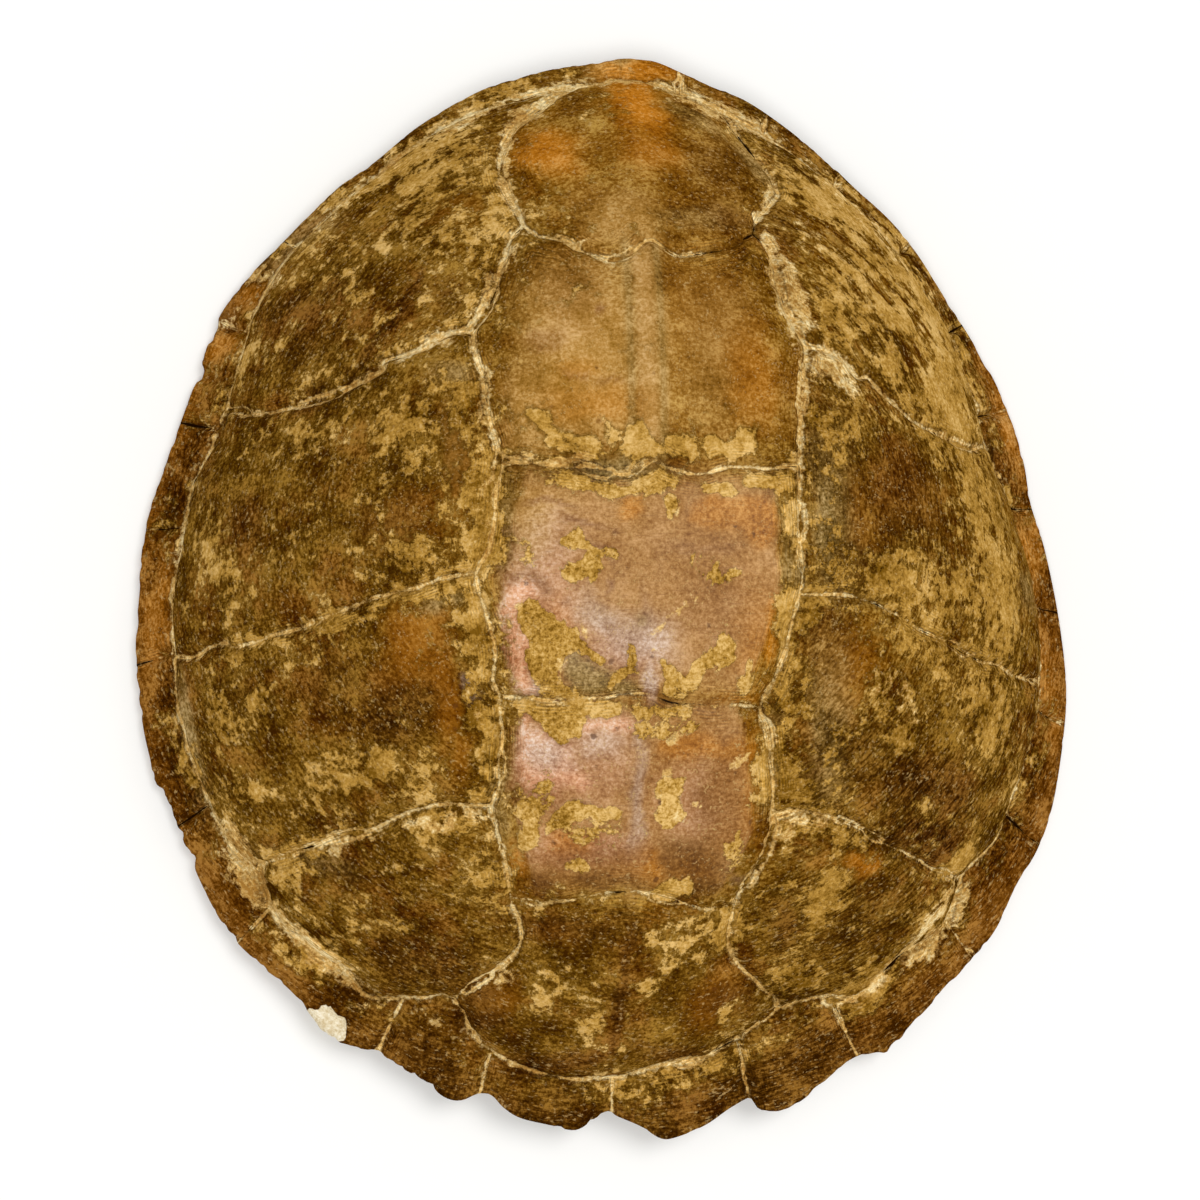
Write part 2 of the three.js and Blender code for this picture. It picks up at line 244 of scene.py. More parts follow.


# ---- the carapace: seams, stains, painted sheen and relief ----
# Each scute swells a little inside its seams. The back scutes carry worn plates and a low keel,
# and the flank scutes swell towards their upper rear corners. The horn is dark where it is whole,
# amber where it is thin, rubbed to pink on two back scutes, and flaking to an ochre crust. On
# those two scutes, pale pink and grey patches are also a painted sheen.

# Patches are ellipses: x, y, half length, half width, turn in degrees and strength.
STAINS_AND_PAINTED_SHEEN = {
    "honey": [
        (0, 122, 37, 33, 0, 0.9), (0, 58, 42, 34, 0, 0.9), (0, -8, 42, 34, 0, 1),
        (0, -67, 38, 27, 0, 1), (81, 103, 16, 28, -25, 0.7), (93, 67, 12, 28, 0, 0.8),
        (72, -21, 27, 11, -5, 0.5), (54, 98, 10, 27, -10, 0.5), (113, 14, 16, 30, 5, 0.5),
        (-97, 100, 17, 9, 40, 0.4), (-55, 72, 6, 25, -20, 0.4), (-50, 36, 5, 17, 0, 0.5),
    ],
    "tan": [
        (-33, 8, 6, 10, 0, 0.8), (-26, 13, 8, 4.5, 0, 0.4), (-34, 39, 6, 14, 0, 0.8),
        (-3, 160, 8, 3.5, 10, 0.6), (124, 53, 2.5, 4.5, 25, 0.5), (-54, 27, 3, 10, 0, 0.6),
        (-19, 55, 16, 26, 0, 1), (15, 57, 14, 25, 5, 0.45),
        (-6, 99, 12, 9, 0, 0.7), (2, 60, 2.5, 33, 0, 0.8),
    ],
    # Pink of the rubbed plates, lightened in places into a painted sheen on the third and fourth
    # back scutes.
    "rosy_and_painted_sheen": [
        (-29, -14, 9, 19, 0, 0.6), (-32, 2, 10, 8, 0, 0.35), (-7, -27, 11, 6, 0, 0.7),
        (0, -34, 2, 7, 0, 0.5), (-27, -57, 8, 10, 0, 1), (-15, -80, 14, 5, 0, 0.8),
        (16, -66, 13, 11, 0, 0.5), (-13, -56, 8, 11, 0, 0.5),
    ],
    # Grey patches are mostly a painted sheen on the worn plates of the third and fourth back
    # scutes.
    "painted_sheen_and_grey": [
        (-3, -24, 11, 7, 0, 0.6), (-14, -19, 8, 5, -30, 0.6), (0, -35, 2, 4.5, 0, 0.8),
        (-27, -54, 6, 5, 0, 0.7), (-13, -52, 6, 3.5, 0, 0.4), (-2, -66, 2, 16, 0, 0.6),
        (-3, -50, 1.5, 5, 0, 0.5), (-47, -38, 2, 3.5, 0, 0.8), (-26, -29, 2.5, 7, -50, 0.5),
        (30, -88, 2, 1.5, 0, 0.2), (-32, 2, 10, 8, 0, 0.15), (-30, -37, 3, 3.5, 0, 0.5),
    ],
    "orange": [
        (124, 50, 2.5, 6, 25, 0.5), (130, 15, 3.5, 6, 20, 0.5), (-114, 84, 2.5, 8, -55, 0.45),
        (-119, 70, 3.5, 6, -45, 0.5), (3, 144, 8, 15, 5, 1), (-19, -78, 6, 4, -10, 0.7),
        (-33, -84, 3, 5, 0, 0.5), (30, -63, 3, 12, 0, 0.45), (1, -86, 4.5, 3.5, 0, 0.5),
        (28, -22, 5, 13, 0, 0.35), (-26, -24, 3, 13, 0, 0.3), (4, 123, 9, 8, 5, 0.7),
        (-26, 122, 9, 8, -10, 0.85), (28, 51, 7, 14, 5, 0.5), (3, -85, 3.5, 3.5, 0, 0.9),
        (67, -83, 5, 2.5, 0, 0.9), (-15, 40, 14, 5, 0, 0.35), (-21, 50, 6, 3.5, 0, 0.3),
        (26, -39, 7, 1.5, 0, 0.4), (138, -32, 4, 28, 5, 0.4), (6, 159, 13, 3.5, 5, 0.8),
        (-121, 76, 1.5, 6, -30, 0.4), (-137, -13, 3, 21, -5, 0.4), (133, 12, 3, 18, 5, 0.4),
    ],
    "amber": [
        (62, -84, 8, 4, -15, 0.7), (120, -96, 3.5, 8, -20, 0.6), (-20, -104, 7, 3.5, 0, 0.4),
        (53, -31, 7, 12, 0, 0.7), (74, 18, 20, 12, 10, 0.35), (66, -21, 9, 4, -15, 0.3),
        (-54, 19, 5, 21, -5, 0.4), (-67, 8, 11, 8, -5, 0.45), (-64, -25, 8, 12, 0, 1),
        (-56, -39, 4, 15, 10, 1), (-51, -54, 2.5, 8, 5, 0.8), (-64, 4, 10, 4, 0, 0.5),
        (58, 13, 4.5, 13, 5, 0.6), (57, -29, 9, 10, 5, 0.7), (-51, 102, 7, 7, -5, 0.5),
        (-35, -123, 7, 5, 15, 0.8), (28, -124, 9, 7, 30, 0.8), (14, 72, 12, 19, 5, 0.3),
        (56, 0, 5, 6, 5, 0.4), (20, -13, 12, 16, 0, 0.3), (20, 8, 14, 6, 0, 0.45),
        (24, -66, 9, 17, 0, 0.75), (-11, -85, 22, 6, 0, 0.6), (15, -85, 13, 6, 0, 0.8),
        (10, -60, 20, 18, 0, 0.25),
    ],
    "dark": [
        (-54, 72, 4, 6, 20, 0.7), (33, -124, 8, 4.5, 0, 0.7), (-39, -129, 7, 4, 15, 0.8),
        (-5, -90, 8, 2, 0, 0.7), (91, -82, 10, 3, -10, 0.8), (-3, -145, 7, 3, 0, 0.8),
        (-40, -122, 5, 4, 5, 0.8), (-94, 47, 6, 4, 20, 0.7), (-61, -66, 8, 2, 10, 0.8),
        (-84, -76, 6, 3.5, 25, 0.8), (-96, 76, 9, 10, 30, 0.6), (87, -75, 16, 6, -10, 1),
        (77, -58, 14, 8, 0, 0.4), (-59, -67, 8, 1.5, 10, 0.7), (46, -101, 4.5, 8, 15, 0.7),
        (-86, 80, 6, 6, 25, 0.7), (-52, 129, 6, 6, 30, 0.6),
        (-40, -115, 4, 3.5, 0, 0.6), (-3, -144, 5, 2.5, 0, 0.6), (-65, -112, 10, 6, -30, 0.5),
        (-127, -88, 2.5, 9, 20, 0.5), (20, -66, 8, 10, 0, 0.3), (41, 101, 8, 8, 10, 0.5),
        (27, 103, 9, 6, 10, 0.7), (14, -82, 9, 6, 0, 0.5), (-13, -82, 10, 5, 0, 0.15),
        (22, 60, 12, 22, 0, 0.2), (19, 119, 16, 12, 30, 0.3), (-16, 141, 6, 13, 10, 0.25),
        (24, 120, 13, 14, -15, 0.5), (98, 105, 9, 22, -40, 0.2), (138, -10, 4, 26, 5, 0.3),
        (-56, 130, 9, 8, 20, 0.6), (-71, 67, 21, 2, 55, 0.8), (-96, 68, 14, 14, 35, 0.4),
        (-110, -39, 9, 7, -5, 0.3), (-86, -37, 9, 9, 0, 0.4), (-67, -43, 9, 10, -20, 0.7),
        (-74, -124, 12, 6, -20, 0.3), (-55, -112, 14, 9, -20, 0.6), (-20, -102, 15, 4.5, 0, 0.6),
        (-43, -120, 11, 4, 0, 0.4), (-1, -122, 2, 25, 0, 0.8), (-16, -141, 17, 4, 15, 0.7),
        (20, -140, 14, 3, -10, 0.7), (74, 19, 15, 15, 10, 0.55), (62, 1, 6, 4.5, 5, 0.5),
        (88, -62, 18, 10, 0, 0.8), (61, -73, 13, 3.5, -15, 0.5), (103, -6, 9, 3.5, 10, 0.3),
        (62, -54, 10, 14, 0, 0.5), (87, 66, 10, 6, 15, 0.2), (65, 97, 8, 25, -5, 0.25),
        (-70, 7, 10, 9, 0, 0.6), (74, -98, 16, 10, 15, 0.4), (10, 118, 30, 14, 0, 0.25),
        (19, -91, 10, 4, 0, 0.7), (24, -86, 7, 6, 0, 0.5), (-25, -89, 8, 3.5, 0, 0.4),
        (-12, -101, 14, 4.5, 0, 0.5), (-12, -89, 7, 3, 0, 0.7), (71, -93, 10, 4.5, 0, 0.5),
        (-112, 10, 8, 9, -10, 0.5), (-124, 27, 4.5, 10, -10, 0.5), (-119, 79, 2.5, 8, -35, 1),
        (-47, -147, 12, 3, -25, 0.5), (-15, -153, 12, 4.5, 0, 0.4), (24, -156, 12, 4, 0, 0.4),
    ],
    "marks": [
        (-27, 12, 8, 1, -5, 0.7), (-19, 8, 7, 1, -5, 0.7), (-15, 1, 4, 1, -10, 0.8),
        (-12, 6, 1, 1, 0, 1), (-12, -10, 1, 1, 0, 1), (-24, -13, 1, 1, 0, 0.9),
        (-17, -7, 2.5, 1, 0, 0.5), (-12, -20, 2.5, 2, 0, 0.7), (-1, -13, 1, 6, 0, 0.4),
        (12, 2, 11, 2, 0, 0.4), (-29, 59, 6, 3, 0, 0.4), (-14, 68, 1.5, 1.5, 0, 0.8),
        (-31, 57, 1.5, 1.5, 0, 0.5), (-22, 48, 4, 1, -20, 0.5), (-12, 46, 4.5, 1, 0, 0.5),
        (-13, -56, 5, 1.5, 0, 0.3), (-1, -61, 6, 2, 0, 0.3), (18, -15, 11, 8, 0, 0.25),
        (-22, 71, 8, 12, 10, 0.25),
    ],
    "olive": [
        (116, 44, 3.5, 3.5, 25, 0.6), (123, 0, 4.5, 6, 15, 0.6), (-97, 102, 5, 12, -65, 0.4),
        (-11, 22, 11, 2.5, 0, 1), (50, 16, 7, 24, 5, 0.45), (50, -41, 6, 24, 0, 0.45),
        (52, -57, 5, 9, 0, 0.35), (21, 139, 9, 4, -30, 0.5), (38, 125, 3.5, 11, 30, 0.5),
        (48, 8, 3.5, 17, 5, 0.9), (-126, -49, 2.5, 18, 10, 0.9), (13, 100, 9, 4.5, 5, 0.4),
        (-55, 49, 5, 3.5, -5, 0.5), (-40, 8, 2, 14, 0, 0.5), (38, -1, 2.5, 16, 5, 0.6),
        (-39, -67, 2.5, 11, 0, 0.6), (35, -55, 2, 14, 0, 0.5), (-92, -84, 14, 3, -10, 0.5),
        (-56, -14, 6, 2, 10, 0.8), (-3, -18, 1.5, 2, 0, 0.5),
    ],
    "cream": [
        (-23, 25, 8, 1.5, 0, 0.8), (42, 26, 2.5, 4, 5, 0.7), (42, -77, 3, 4, 0, 0.6),
        (-52, -131, 8, 2.5, -15, 0.5), (49, -138, 5, 2.5, 20, 0.4), (69, -35, 10, 4.5, -15, 0.5),
        (78, -40, 5, 5, -35, 0.45), (-47, -43, 2.5, 4, 0, 0.45), (-47, 13, 3.5, 14, 0, 0.4),
        (74, 62, 5, 6, 35, 0.35), (-31, 25, 10, 2, 0, 0.7), (51, 100, 4, 8, 0, 0.5),
        (-48, 29, 3, 5, 0, 0.45), (-64, 29, 5, 8, -5, 0.3), (-5, 154, 15, 3.5, 0, 0.6),
        (-109, 93, 3, 7, -60, 0.6), (-88, 118, 4, 12, -65, 0.5), (-118, 78, 2, 8, -40, 0.5),
        (-110, -87, 15, 3.5, -60, 0.9), (-86, -113, 20, 3.5, -40, 0.9), (-84, -81, 4, 2, 20, 1),
        (106, -96, 8, 3, 75, 1), (96, -109, 9, 3, 35, 1), (80, -119, 7, 2, 40, 0.8),
        (5, -18, 7, 1.5, 40, 0.75), (13, -13, 3.5, 1, 0, 0.75), (7, 10, 2, 1.5, 20, 0.9),
        (7, -50, 4.5, 1.5, 15, 0.75), (6, -58, 1.5, 3, 0, 0.75), (16, -66, 5, 1, 0, 0.7),
        (4, -68, 1, 4, 0, 0.4), (9, -70, 2, 2, 0, 0.9), (26, -56, 6, 1, 30, 0.75),
        (-20, -24, 2.5, 2, -40, 0.75), (-24, -31, 1, 5, 0, 0.8), (-36, -15, 1.5, 1.5, 0, 0.8),
        (-11, 0, 2, 1.5, 0, 0.7), (0, -26, 1, 3, 0, 0.6), (42, 78, 4, 17, 5, 1),
        (43, 77, 5, 15, 10, 1), (-28, -35, 3, 3, 0, 0.75), (38, 92, 2.5, 9, 0, 0.7),
        (52, 57, 7, 6, -10, 1), (58, 51, 4, 3.5, -25, 0.9), (44, -72, 8, 2, -5, 1),
        (52, -73, 6, 2, -10, 0.7), (-38, 123, 2, 14, -5, 0.9), (-32, 139, 6, 3, 40, 0.8),
        (41, 114, 2.5, 8, -15, 0.7), (-20, 90, 6, 1.5, 0, 0.8), (-13, 83, 2, 2.5, 0, 0.6),
        (-57, -73.5, 15, 1.5, 10, 0.8), (-44, -72, 4, 2.5, 0, 0.6), (-79, -79, 11, 1.5, 15, 0.7),
        (-35, -116, 3.5, 6, -20, 0.5), (31, -106, 2, 7, 0, 0.5),
        (24, -10, 11, 1, 0, 0.2), (-31, 150, 2.5, 3, -15, 0.5), (-134, -50, 1, 4, 0, 0.3),
        (24, 153, 9, 3.5, -15, 0.6), (32, 144, 22, 4.5, -20, 0.8), (90, -106, 24, 3, 50, 1),
        (-110, -82, 14, 4, -50, 0.9), (-87, -111, 20, 3, -40, 0.9), (-105, 90, 16, 3, 60, 0.6),
        (-80, 117, 22, 3.5, 45, 0.55), (-48, 139, 16, 3, 20, 0.8), (-19, 153, 12, 3, 20, 0.6),
        (74, 114, 28, 6, -50, 0.5), (-26, 142, 13, 2.5, 45, 1), (-37, 106, 10, 2, -65, 1),
        (-42, 79, 19, 1.5, 65, 0.7), (-46, 43, 19, 1.5, -80, 0.8), (43, 43, 18, 1.5, 85, 0.8),
        (-63, 57, 13, 2, 20, 0.8), (65, 53, 9, 2, -25, 0.5),
    ],
    "open": [
        (40, 130, 9, 4, -50, 1), (82, -19, 31, 5, -15, 0.5), (78, -79, 26, 4, -20, 0.4),
        (24, 93, 14, 4, 10, 1), (-6, -94, 26, 3, 0, 0.5), (8, -40, 16, 3, 0, 0.7),
        (-12, -39, 14, 3, 0, 0.35), (28, 98, 12, 3, 20, 0.5), (18, 90, 16, 3, 0, 0.4),
        (24, -97, 12, 3, -10, 0.6), (88, -114, 6, 5, 40, 1), (-40, -123, 9, 4, 30, 0.4),
        (-94, -84, 8, 4, 0, 0.4),
    ],
    "ridged": [
        (38, 0, 4.5, 20, 5, 1), (35, -30, 5, 14, 10, 1), (35, -58, 4, 16, 0, 1),
        (-42, -58, 4, 16, 0, 1), (-43, -14, 3, 20, 0, 0.6), (-32, 88, 9, 8, -30, 0.9),
        (26, 88, 14, 7, 10, 0.9), (-8, -99, 22, 5, 0, 1), (-86, -107, 17, 4.5, -40, 1),
        (-97, -84, 12, 4, -60, 0.7), (-31, 115, 5, 10, 20, 0.6), (36, 112, 5, 10, -20, 0.7),
        (46, -30, 4, 18, 5, 0.7), (-50, 44, 5, 18, 0, 0.5), (48, -95, 6, 14, 0, 0.5),
    ],
}
LONG_STREAKS = [
    (78, 92, 52, 36, -50, 1), (-80, 84, 46, 24, 45, 0.5), (102, 8, 22, 40, 0, 0.5),
    (-66, 126, 34, 10, 40, 1), (-98, -98, 34, 11, -45, 0.8),
]
WORN_PLATES = [(-3, -8, 60, 29, 0, 1), (-1, -65, 60, 25, 0, 1)]
# No crust lies along these, the keel and the rear border of the fifth back scute.
CLEAN = [(-1, -119, 1.5, 27, 0, 1), (-4, -140, 18, 2.5, 0, 0.5)]
CRUST = [
    (47, 41, 3.5, 7, 5, 0.8), (42, -77, 4, 6, 0, 0.9), (-67, -2, 7, 6, 0, 0.7),
    (49, -138, 8, 4.5, 20, 1), (36, -143, 7, 4, 20, 0.9), (69, -35, 11, 6, -15, 1),
    (-48, 22, 5, 14, 0, 1), (-52, 37, 3.5, 8, 0, 1), (39, -144, 6, 3, 20, 0.9),
    (-103, -40, 5, 6, -5, 0.8), (-52, -130, 6, 2.5, -10, 0.7), (-65, 99, 7, 6, 30, 0.7),
    (124, 30, 4, 6, 20, 0.9), (121, 47, 3, 5, 25, 0.7), (-46, 13, 5, 18, 0, 1),
    (-63, 29, 6, 11, 0, 1), (-54, 45, 7, 4, 0, 0.8), (68, -34, 10, 4, -15, 1),
    (78, -40, 6, 6, -35, 0.9), (77, -22, 5, 8, 30, 0.8), (-47, -44, 4, 5, 0, 1),
    (-44, -66, 3.5, 3.5, 0, 0.8), (74, 62, 6, 7, 35, 1), (-128, -58, 2.5, 8, 10, 0.9),
    (52, 99, 4.5, 6, 15, 0.7), (41, 26, 3, 3.5, 5, 0.8), (46, -15, 3.5, 6, 5, 0.8),
    (37, -38, 2.5, 7, 0, 0.8), (-31, 25, 11, 2.5, 0, 0.9), (-97, -86, 8, 6, -50, 0.9),
    (-92, -114, 10, 3.5, -40, 1), (-103, -85, 6, 3.5, -60, 0.8), (51, -73, 11, 4, 0, 1),
    (55, -97, 3.5, 12, -10, 0.8), (102, -82, 8, 3.5, 25, 0.8),
    (54, -116, 8, 4, 0, 0.6), (-64, 127, 20, 8, 40, 1), (-82, 115, 10, 6, 45, 0.8),
    (-41, 148, 11, 4, 20, 1), (1, 19, 8, 3.5, 0, 0.7), (-26, 20, 8, 2.5, 0, 0.8),
    (-19, -118, 8, 7, -30, 0.75), (-9, -128, 10, 7, -25, 0.75), (-1, -137, 5, 7, 0, 0.7),
    (-22, -123, 4, 6, 0, 0.8), (5, -104, 5, 9, 10, 0.6), (13, -108, 7, 8, 30, 0.6),
    (20, -102, 6, 4, 20, 0.8), (9, -118, 4, 7, -20, 0.6), (34, -126, 6, 2.5, 40, 0.7),
    (30, -102, 5, 6, 0, 0.8), (-47, -24, 4, 15, 0, 0.9),
    (-44, -56, 3.5, 11, 0, 0.7), (38, 13, 3.5, 14, 5, 0.6), (39, -25, 4, 16, 15, 0.8),
    (33, -55, 3.5, 20, 0, 0.6), (-74, -58, 8, 5, 10, 1), (-81, -56, 6, 4, 0, 0.9),
    (-59, -63, 7, 7, -40, 0.6), (-107, -64, 6, 4, 0, 0.6), (-113, -44, 6, 6, -5, 0.4),
    (-117, 2, 7, 12, -10, 0.5), (-95, -1, 10, 8, -5, 0.4), (-68, 34, 13, 8, 5, 0.6),
    (-55, 19, 3, 14, 0, 0.5), (-102, -95, 24, 4.5, -50, 0.9), (-117, -81, 6, 7, -60, 0.7),
    (-21, -90, 7, 3, 0, 0.5), (-84, -78, 14, 2.5, 15, 0.7), (-57, -74, 15, 3, 5, 0.7),
    (-92, -113, 15, 6, -40, 0.6), (-70, -100, 11, 6, 0, 0.5), (-82, 75, 8, 17, 30, 0.3),
    (-63, 93, 14, 8, 20, 0.35), (-46, 88, 5, 20, -15, 0.4), (-110, 62, 7, 10, -15, 0.5),
    (61, 116, 18, 14, -35, 0.7), (77, 87, 18, 18, -45, 0.8), (94, 60, 13, 28, -5, 0.9),
    (58, 82, 6, 25, -15, 0.7), (101, 18, 12, 27, 0, 0.6), (82, -6, 29, 10, -5, 0.85),
    (110, -8, 12, 19, 5, 0.8), (93, -25, 22, 9, -10, 0.75), (66, -35, 8, 7, 5, 0.9),
    (69, -21, 13, 6, 5, 0.6), (56, -54, 6, 14, 0, 0.4), (77, -70, 14, 8, 0, 0.15),
    (45, -66, 8, 11, 0, 0.5), (47, -85, 8, 14, 0, 0.35), (72, -99, 16, 8, 20, 0.15),
    (86, -110, 22, 5, 35, 1), (105, -93, 6, 9, -20, 0.6), (60, 38, 12, 10, -30, 0.5),
    (109, -52, 11, 17, 5, 0.3), (69, -39, 11, 6, -15, 1), (76, -47, 8, 8, 0, 0.9),
    (104, -37, 12, 18, 10, 0.6), (83, -26, 20, 4, -15, 0.9), (-28, -67, 7, 11, 0, 0.6),
    (-11, -76, 14, 5, 0, 0.55), (2, -48, 11, 3, 0, 0.6), (28, -82, 7, 8, 0, 0.55),
    (17, -74, 9, 6, 0, 0.4), (-33, -3, 2.5, 8, 0, 0.35), (92, 88, 37, 11, -50, 0.9),
    (-59, 120, 15, 8, 35, 0.8), (-82, 106, 15, 4.5, 50, 0.6), (-55, -75, 16, 3, 15, 0.8),
    (-107, -87, 14, 6, -50, 0.8), (-86, -110, 20, 4.5, -40, 0.8), (88, -110, 24, 5, 50, 0.8),
    (-60, 103, 12, 9, -45, 0.5), (-74, 91, 8, 5, 30, 0.35), (66, 108, 12, 12, -40, 0.9),
    (-104, -22.5, 12, 2.5, 10, 0.8), (-80, -17, 17, 2.5, 15, 0.9), (-60, -11, 14, 3, 15, 0.9),
]
# Closed outlines of the larger marks.
SHAPES = {
    "chip": [
        [[-88.5, -128], [-86, -128], [-82, -129.5], [-78.5, -132], [-79, -136.5], [-82.5, -136],
         [-87, -133]],
    ],
    "crust": [
        [[-36, -17], [-35.5, -20.5], [-33.5, -23], [-32.5, -25.5], [-33.5, -28], [-34, -31],
         [-31.5, -35], [-29.5, -39.5], [-24, -39.5], [-18, -39], [-22.5, -36], [-24, -33.5],
         [-24, -31], [-23, -27], [-19.5, -28], [-16, -30], [-14, -31], [-12, -31.5], [-11, -30.5],
         [-12.5, -29], [-15, -27], [-18, -25], [-19.5, -22.5], [-21, -21], [-23, -21], [-26, -18],
         [-28.5, -15.5], [-31, -13.5], [-33.5, -13.5], [-35.5, -14.5]],
        [[-24, 1], [-20.5, 1], [-18, -0.5], [-19, -3], [-22, -4], [-24.5, -5], [-25, -7],
         [-23, -8.5], [-18.5, -7], [-16.5, -8.5], [-14.5, -7], [-14, -5], [-15, -2.5], [-13.5, -1],
         [-15, 1], [-16.5, 0.5], [-19, 2.5], [-20, 4.5], [-23, 3.5], [-25.5, 2.5]],
        [[-13, -1.5], [-10.5, -2], [-9.5, -0.5], [-12, 1.5], [-14.5, 0.5]],
        [[10, -2.5], [13.5, -1.5], [12.5, 0], [7.5, -1]],
        [[10, -6], [13, -7], [17, -8.5], [20.5, -7.5], [24, -5.5], [23, -4], [18.5, -5],
         [18, -2.5], [16.5, -1.5], [15, -5], [12.5, -4], [8, -3.5]],
        [[3, -38.5], [7, -39], [11, -37.5], [13.5, -34.5], [15, -31.5], [17, -29.5], [20, -29.5],
         [22, -27.5], [22.5, -24.5], [20, -22.5], [17.5, -24.5], [15.5, -26.5], [13.5, -28.5],
         [10.5, -31], [8, -33.5], [6, -31], [4, -29], [2.5, -29]],
        [[25, -36.5], [27, -37], [28, -33.5], [28, -30], [26.5, -29], [25, -34.5]],
        [[-7.5, -31.5], [-10, -32], [-11.5, -34], [-11, -37], [-9, -35.5], [-6.5, -35],
         [-5.5, -32.5], [-4, -34], [-3.5, -30], [-4.5, -27], [-5.5, -25.5], [-6.5, -28]],
        [[-23, 17.5], [-19, 16], [-15, 15.5], [-10, 15], [-6.5, 16], [-7.5, 18], [-15, 17.5],
         [-17.5, 19], [-22.5, 19.5]],
        [[3.5, 9.5], [6, 11.5], [5, 15], [2.5, 14.5]],
        [[16, 16.5], [20.5, 15.5], [23.5, 17], [20, 19], [15, 19.5], [12, 17]],
        [[25.5, 17.5], [29, 18.5], [33.5, 18.5], [35, 21], [32, 22.5], [25, 21]],
        [[-33.5, -44.5], [-29.5, -46], [-27.5, -49], [-25.5, -51], [-23, -51], [-21.5, -49.5],
         [-19, -49], [-17.5, -46.5], [-15.5, -44.5], [-11.5, -45], [-7.5, -44], [-7.5, -41],
         [-13.5, -40.5], [-20, -40], [-28, -40.5], [-35.5, -41]],
        [[-5, -44], [-2.5, -45], [1.5, -44], [6.5, -45], [11.5, -43], [10, -41], [4.5, -42],
         [-0.5, -41], [-6, -42]],
        [[10, -48.5], [13.5, -48], [13.5, -46], [11, -45], [7.5, -46]],
        [[-24.5, -70], [-26.5, -72.5], [-25.5, -75.5], [-22, -74.5], [-18.5, -73], [-14.5, -71],
         [-10, -72], [-6, -71.5], [-5.5, -69.5], [-8.5, -68], [-12.5, -69], [-16, -68],
         [-18.5, -67], [-22, -68.5]],
        [[3, -64], [5, -66], [4.5, -68.5], [3, -70.5], [5, -72.5], [8.5, -74], [12, -72],
         [12.5, -69.5], [10, -66.5], [11, -64], [11.5, -61], [6.5, -60.5], [3, -61.5]],
        [[-20, -85], [-17, -87], [-13.5, -87.5], [-13, -85], [-16.5, -83], [-20, -83]],
        [[6, -94.5], [5, -91.5], [8, -89], [10.5, -87.5], [13, -89], [15.5, -88], [16.5, -91],
         [14, -93.5], [10, -95]],
        [[-34, -70], [-32.5, -73.5], [-33.5, -77], [-31, -81], [-27, -79], [-29.5, -77],
         [-27.5, -75], [-29.5, -71.5], [-27.5, -70], [-28.5, -66.5], [-34, -67]],
        [[26, -77], [24, -79], [26, -80], [29, -78.5], [29.5, -75], [27, -73.5]],
        [[-32.5, 33], [-30, 32], [-29.5, 29], [-26, 27], [-22, 26], [-17.5, 24.5], [-14, 25.5],
         [-14.5, 28.5], [-17.5, 31], [-22, 31.5], [-25.5, 32.5], [-28, 35.5], [-30.5, 38],
         [-34.5, 37.5]],
        [[-14.5, 33], [-13, 31.5], [-10, 30], [-9.5, 32.5], [-12.5, 35.5], [-15, 36]],
        [[-7, 30.5], [-10, 28.5], [-12, 27], [-8, 25.5], [-4, 25.5], [0, 27], [1.5, 29],
         [-1.5, 32], [-4, 35], [-7, 34]],
        [[2.5, 28], [5.5, 27], [9.5, 26], [12.5, 28.5], [11, 31], [7, 32], [2.5, 30.5]],
        [[13.5, 27.5], [18, 26], [23, 26.5], [26.5, 29], [29, 33], [28, 37], [25, 35.5], [22, 32],
         [19.5, 30], [16.5, 31.5], [12.5, 31]],
    ],
    "salmon": [
        [[-40.5, -13.5], [-41, -17.5], [-40, -23], [-38.5, -28.5], [-37.5, -33.5], [-36.5, -37.5],
         [-34, -39], [-30.5, -39], [-31.5, -37], [-33, -33.5], [-34, -31], [-33.5, -28],
         [-32.5, -25], [-34, -23], [-35.5, -20.5], [-36.5, -16.5], [-35.5, -14], [-33, -13],
         [-31.5, -11], [-35, -9], [-37.5, -9], [-39.5, -11.5]],
        [[-34.5, -56], [-33, -61.5], [-29.5, -64], [-25.5, -63], [-21.5, -62.5], [-17.5, -64.5],
         [-15.5, -62.5], [-19, -59], [-21.5, -56.5], [-21, -54], [-23.5, -52], [-27.5, -50.5],
         [-31.5, -49.5], [-32.5, -45.5], [-34.5, -46], [-34, -51.5]],
        [[-16.5, -49], [-13, -48], [-6.5, -48.5], [-2, -47], [-6.5, -45.5], [-13, -45.5],
         [-17.5, -46.5]],
    ],
    "orange": [
        [[4, -54], [9.5, -55], [15, -54.5], [21, -54.5], [26.5, -56], [31, -55], [31, -52],
         [27.5, -50], [21, -51], [18, -49.5], [11.5, -49], [3, -51.5]],
        [[31.5, -16], [31, -23], [32.5, -28], [34.5, -28.5], [35.5, -22.5], [35, -14.5],
         [34.5, -10.5], [32.5, -11.5]],
        [[-4, 14.5], [-8, 13.5], [-10, 11], [-8, 8.5], [-5, 10]],
        [[9.5, 9], [15, 7.5], [22, 7], [25.5, 5.5], [28, 1.5], [32, 3], [34, 8.5], [33.5, 14],
         [29, 15], [20.5, 15], [12.5, 14.5]],
    ],
    "marks": [
        [[-38, -9], [-35, -8], [-32, -9.5], [-29, -11], [-27, -12], [-27.5, -10], [-30.5, -7],
         [-34, -6], [-37.5, -6.5], [-40.5, -8]],
    ],
    "olive": [
        [[-23, -31.5], [-21.5, -34.5], [-19.5, -37.5], [-16, -39], [-12, -37.5], [-10.5, -34.5],
         [-12.5, -32], [-16, -30.5], [-18.5, -29], [-20.5, -27], [-23.5, -27.5]],
        [[-11, -38.5], [-7, -38.5], [-3.5, -37.5], [-4.5, -35.5], [-7.5, -35], [-10.5, -36]],
    ],
}


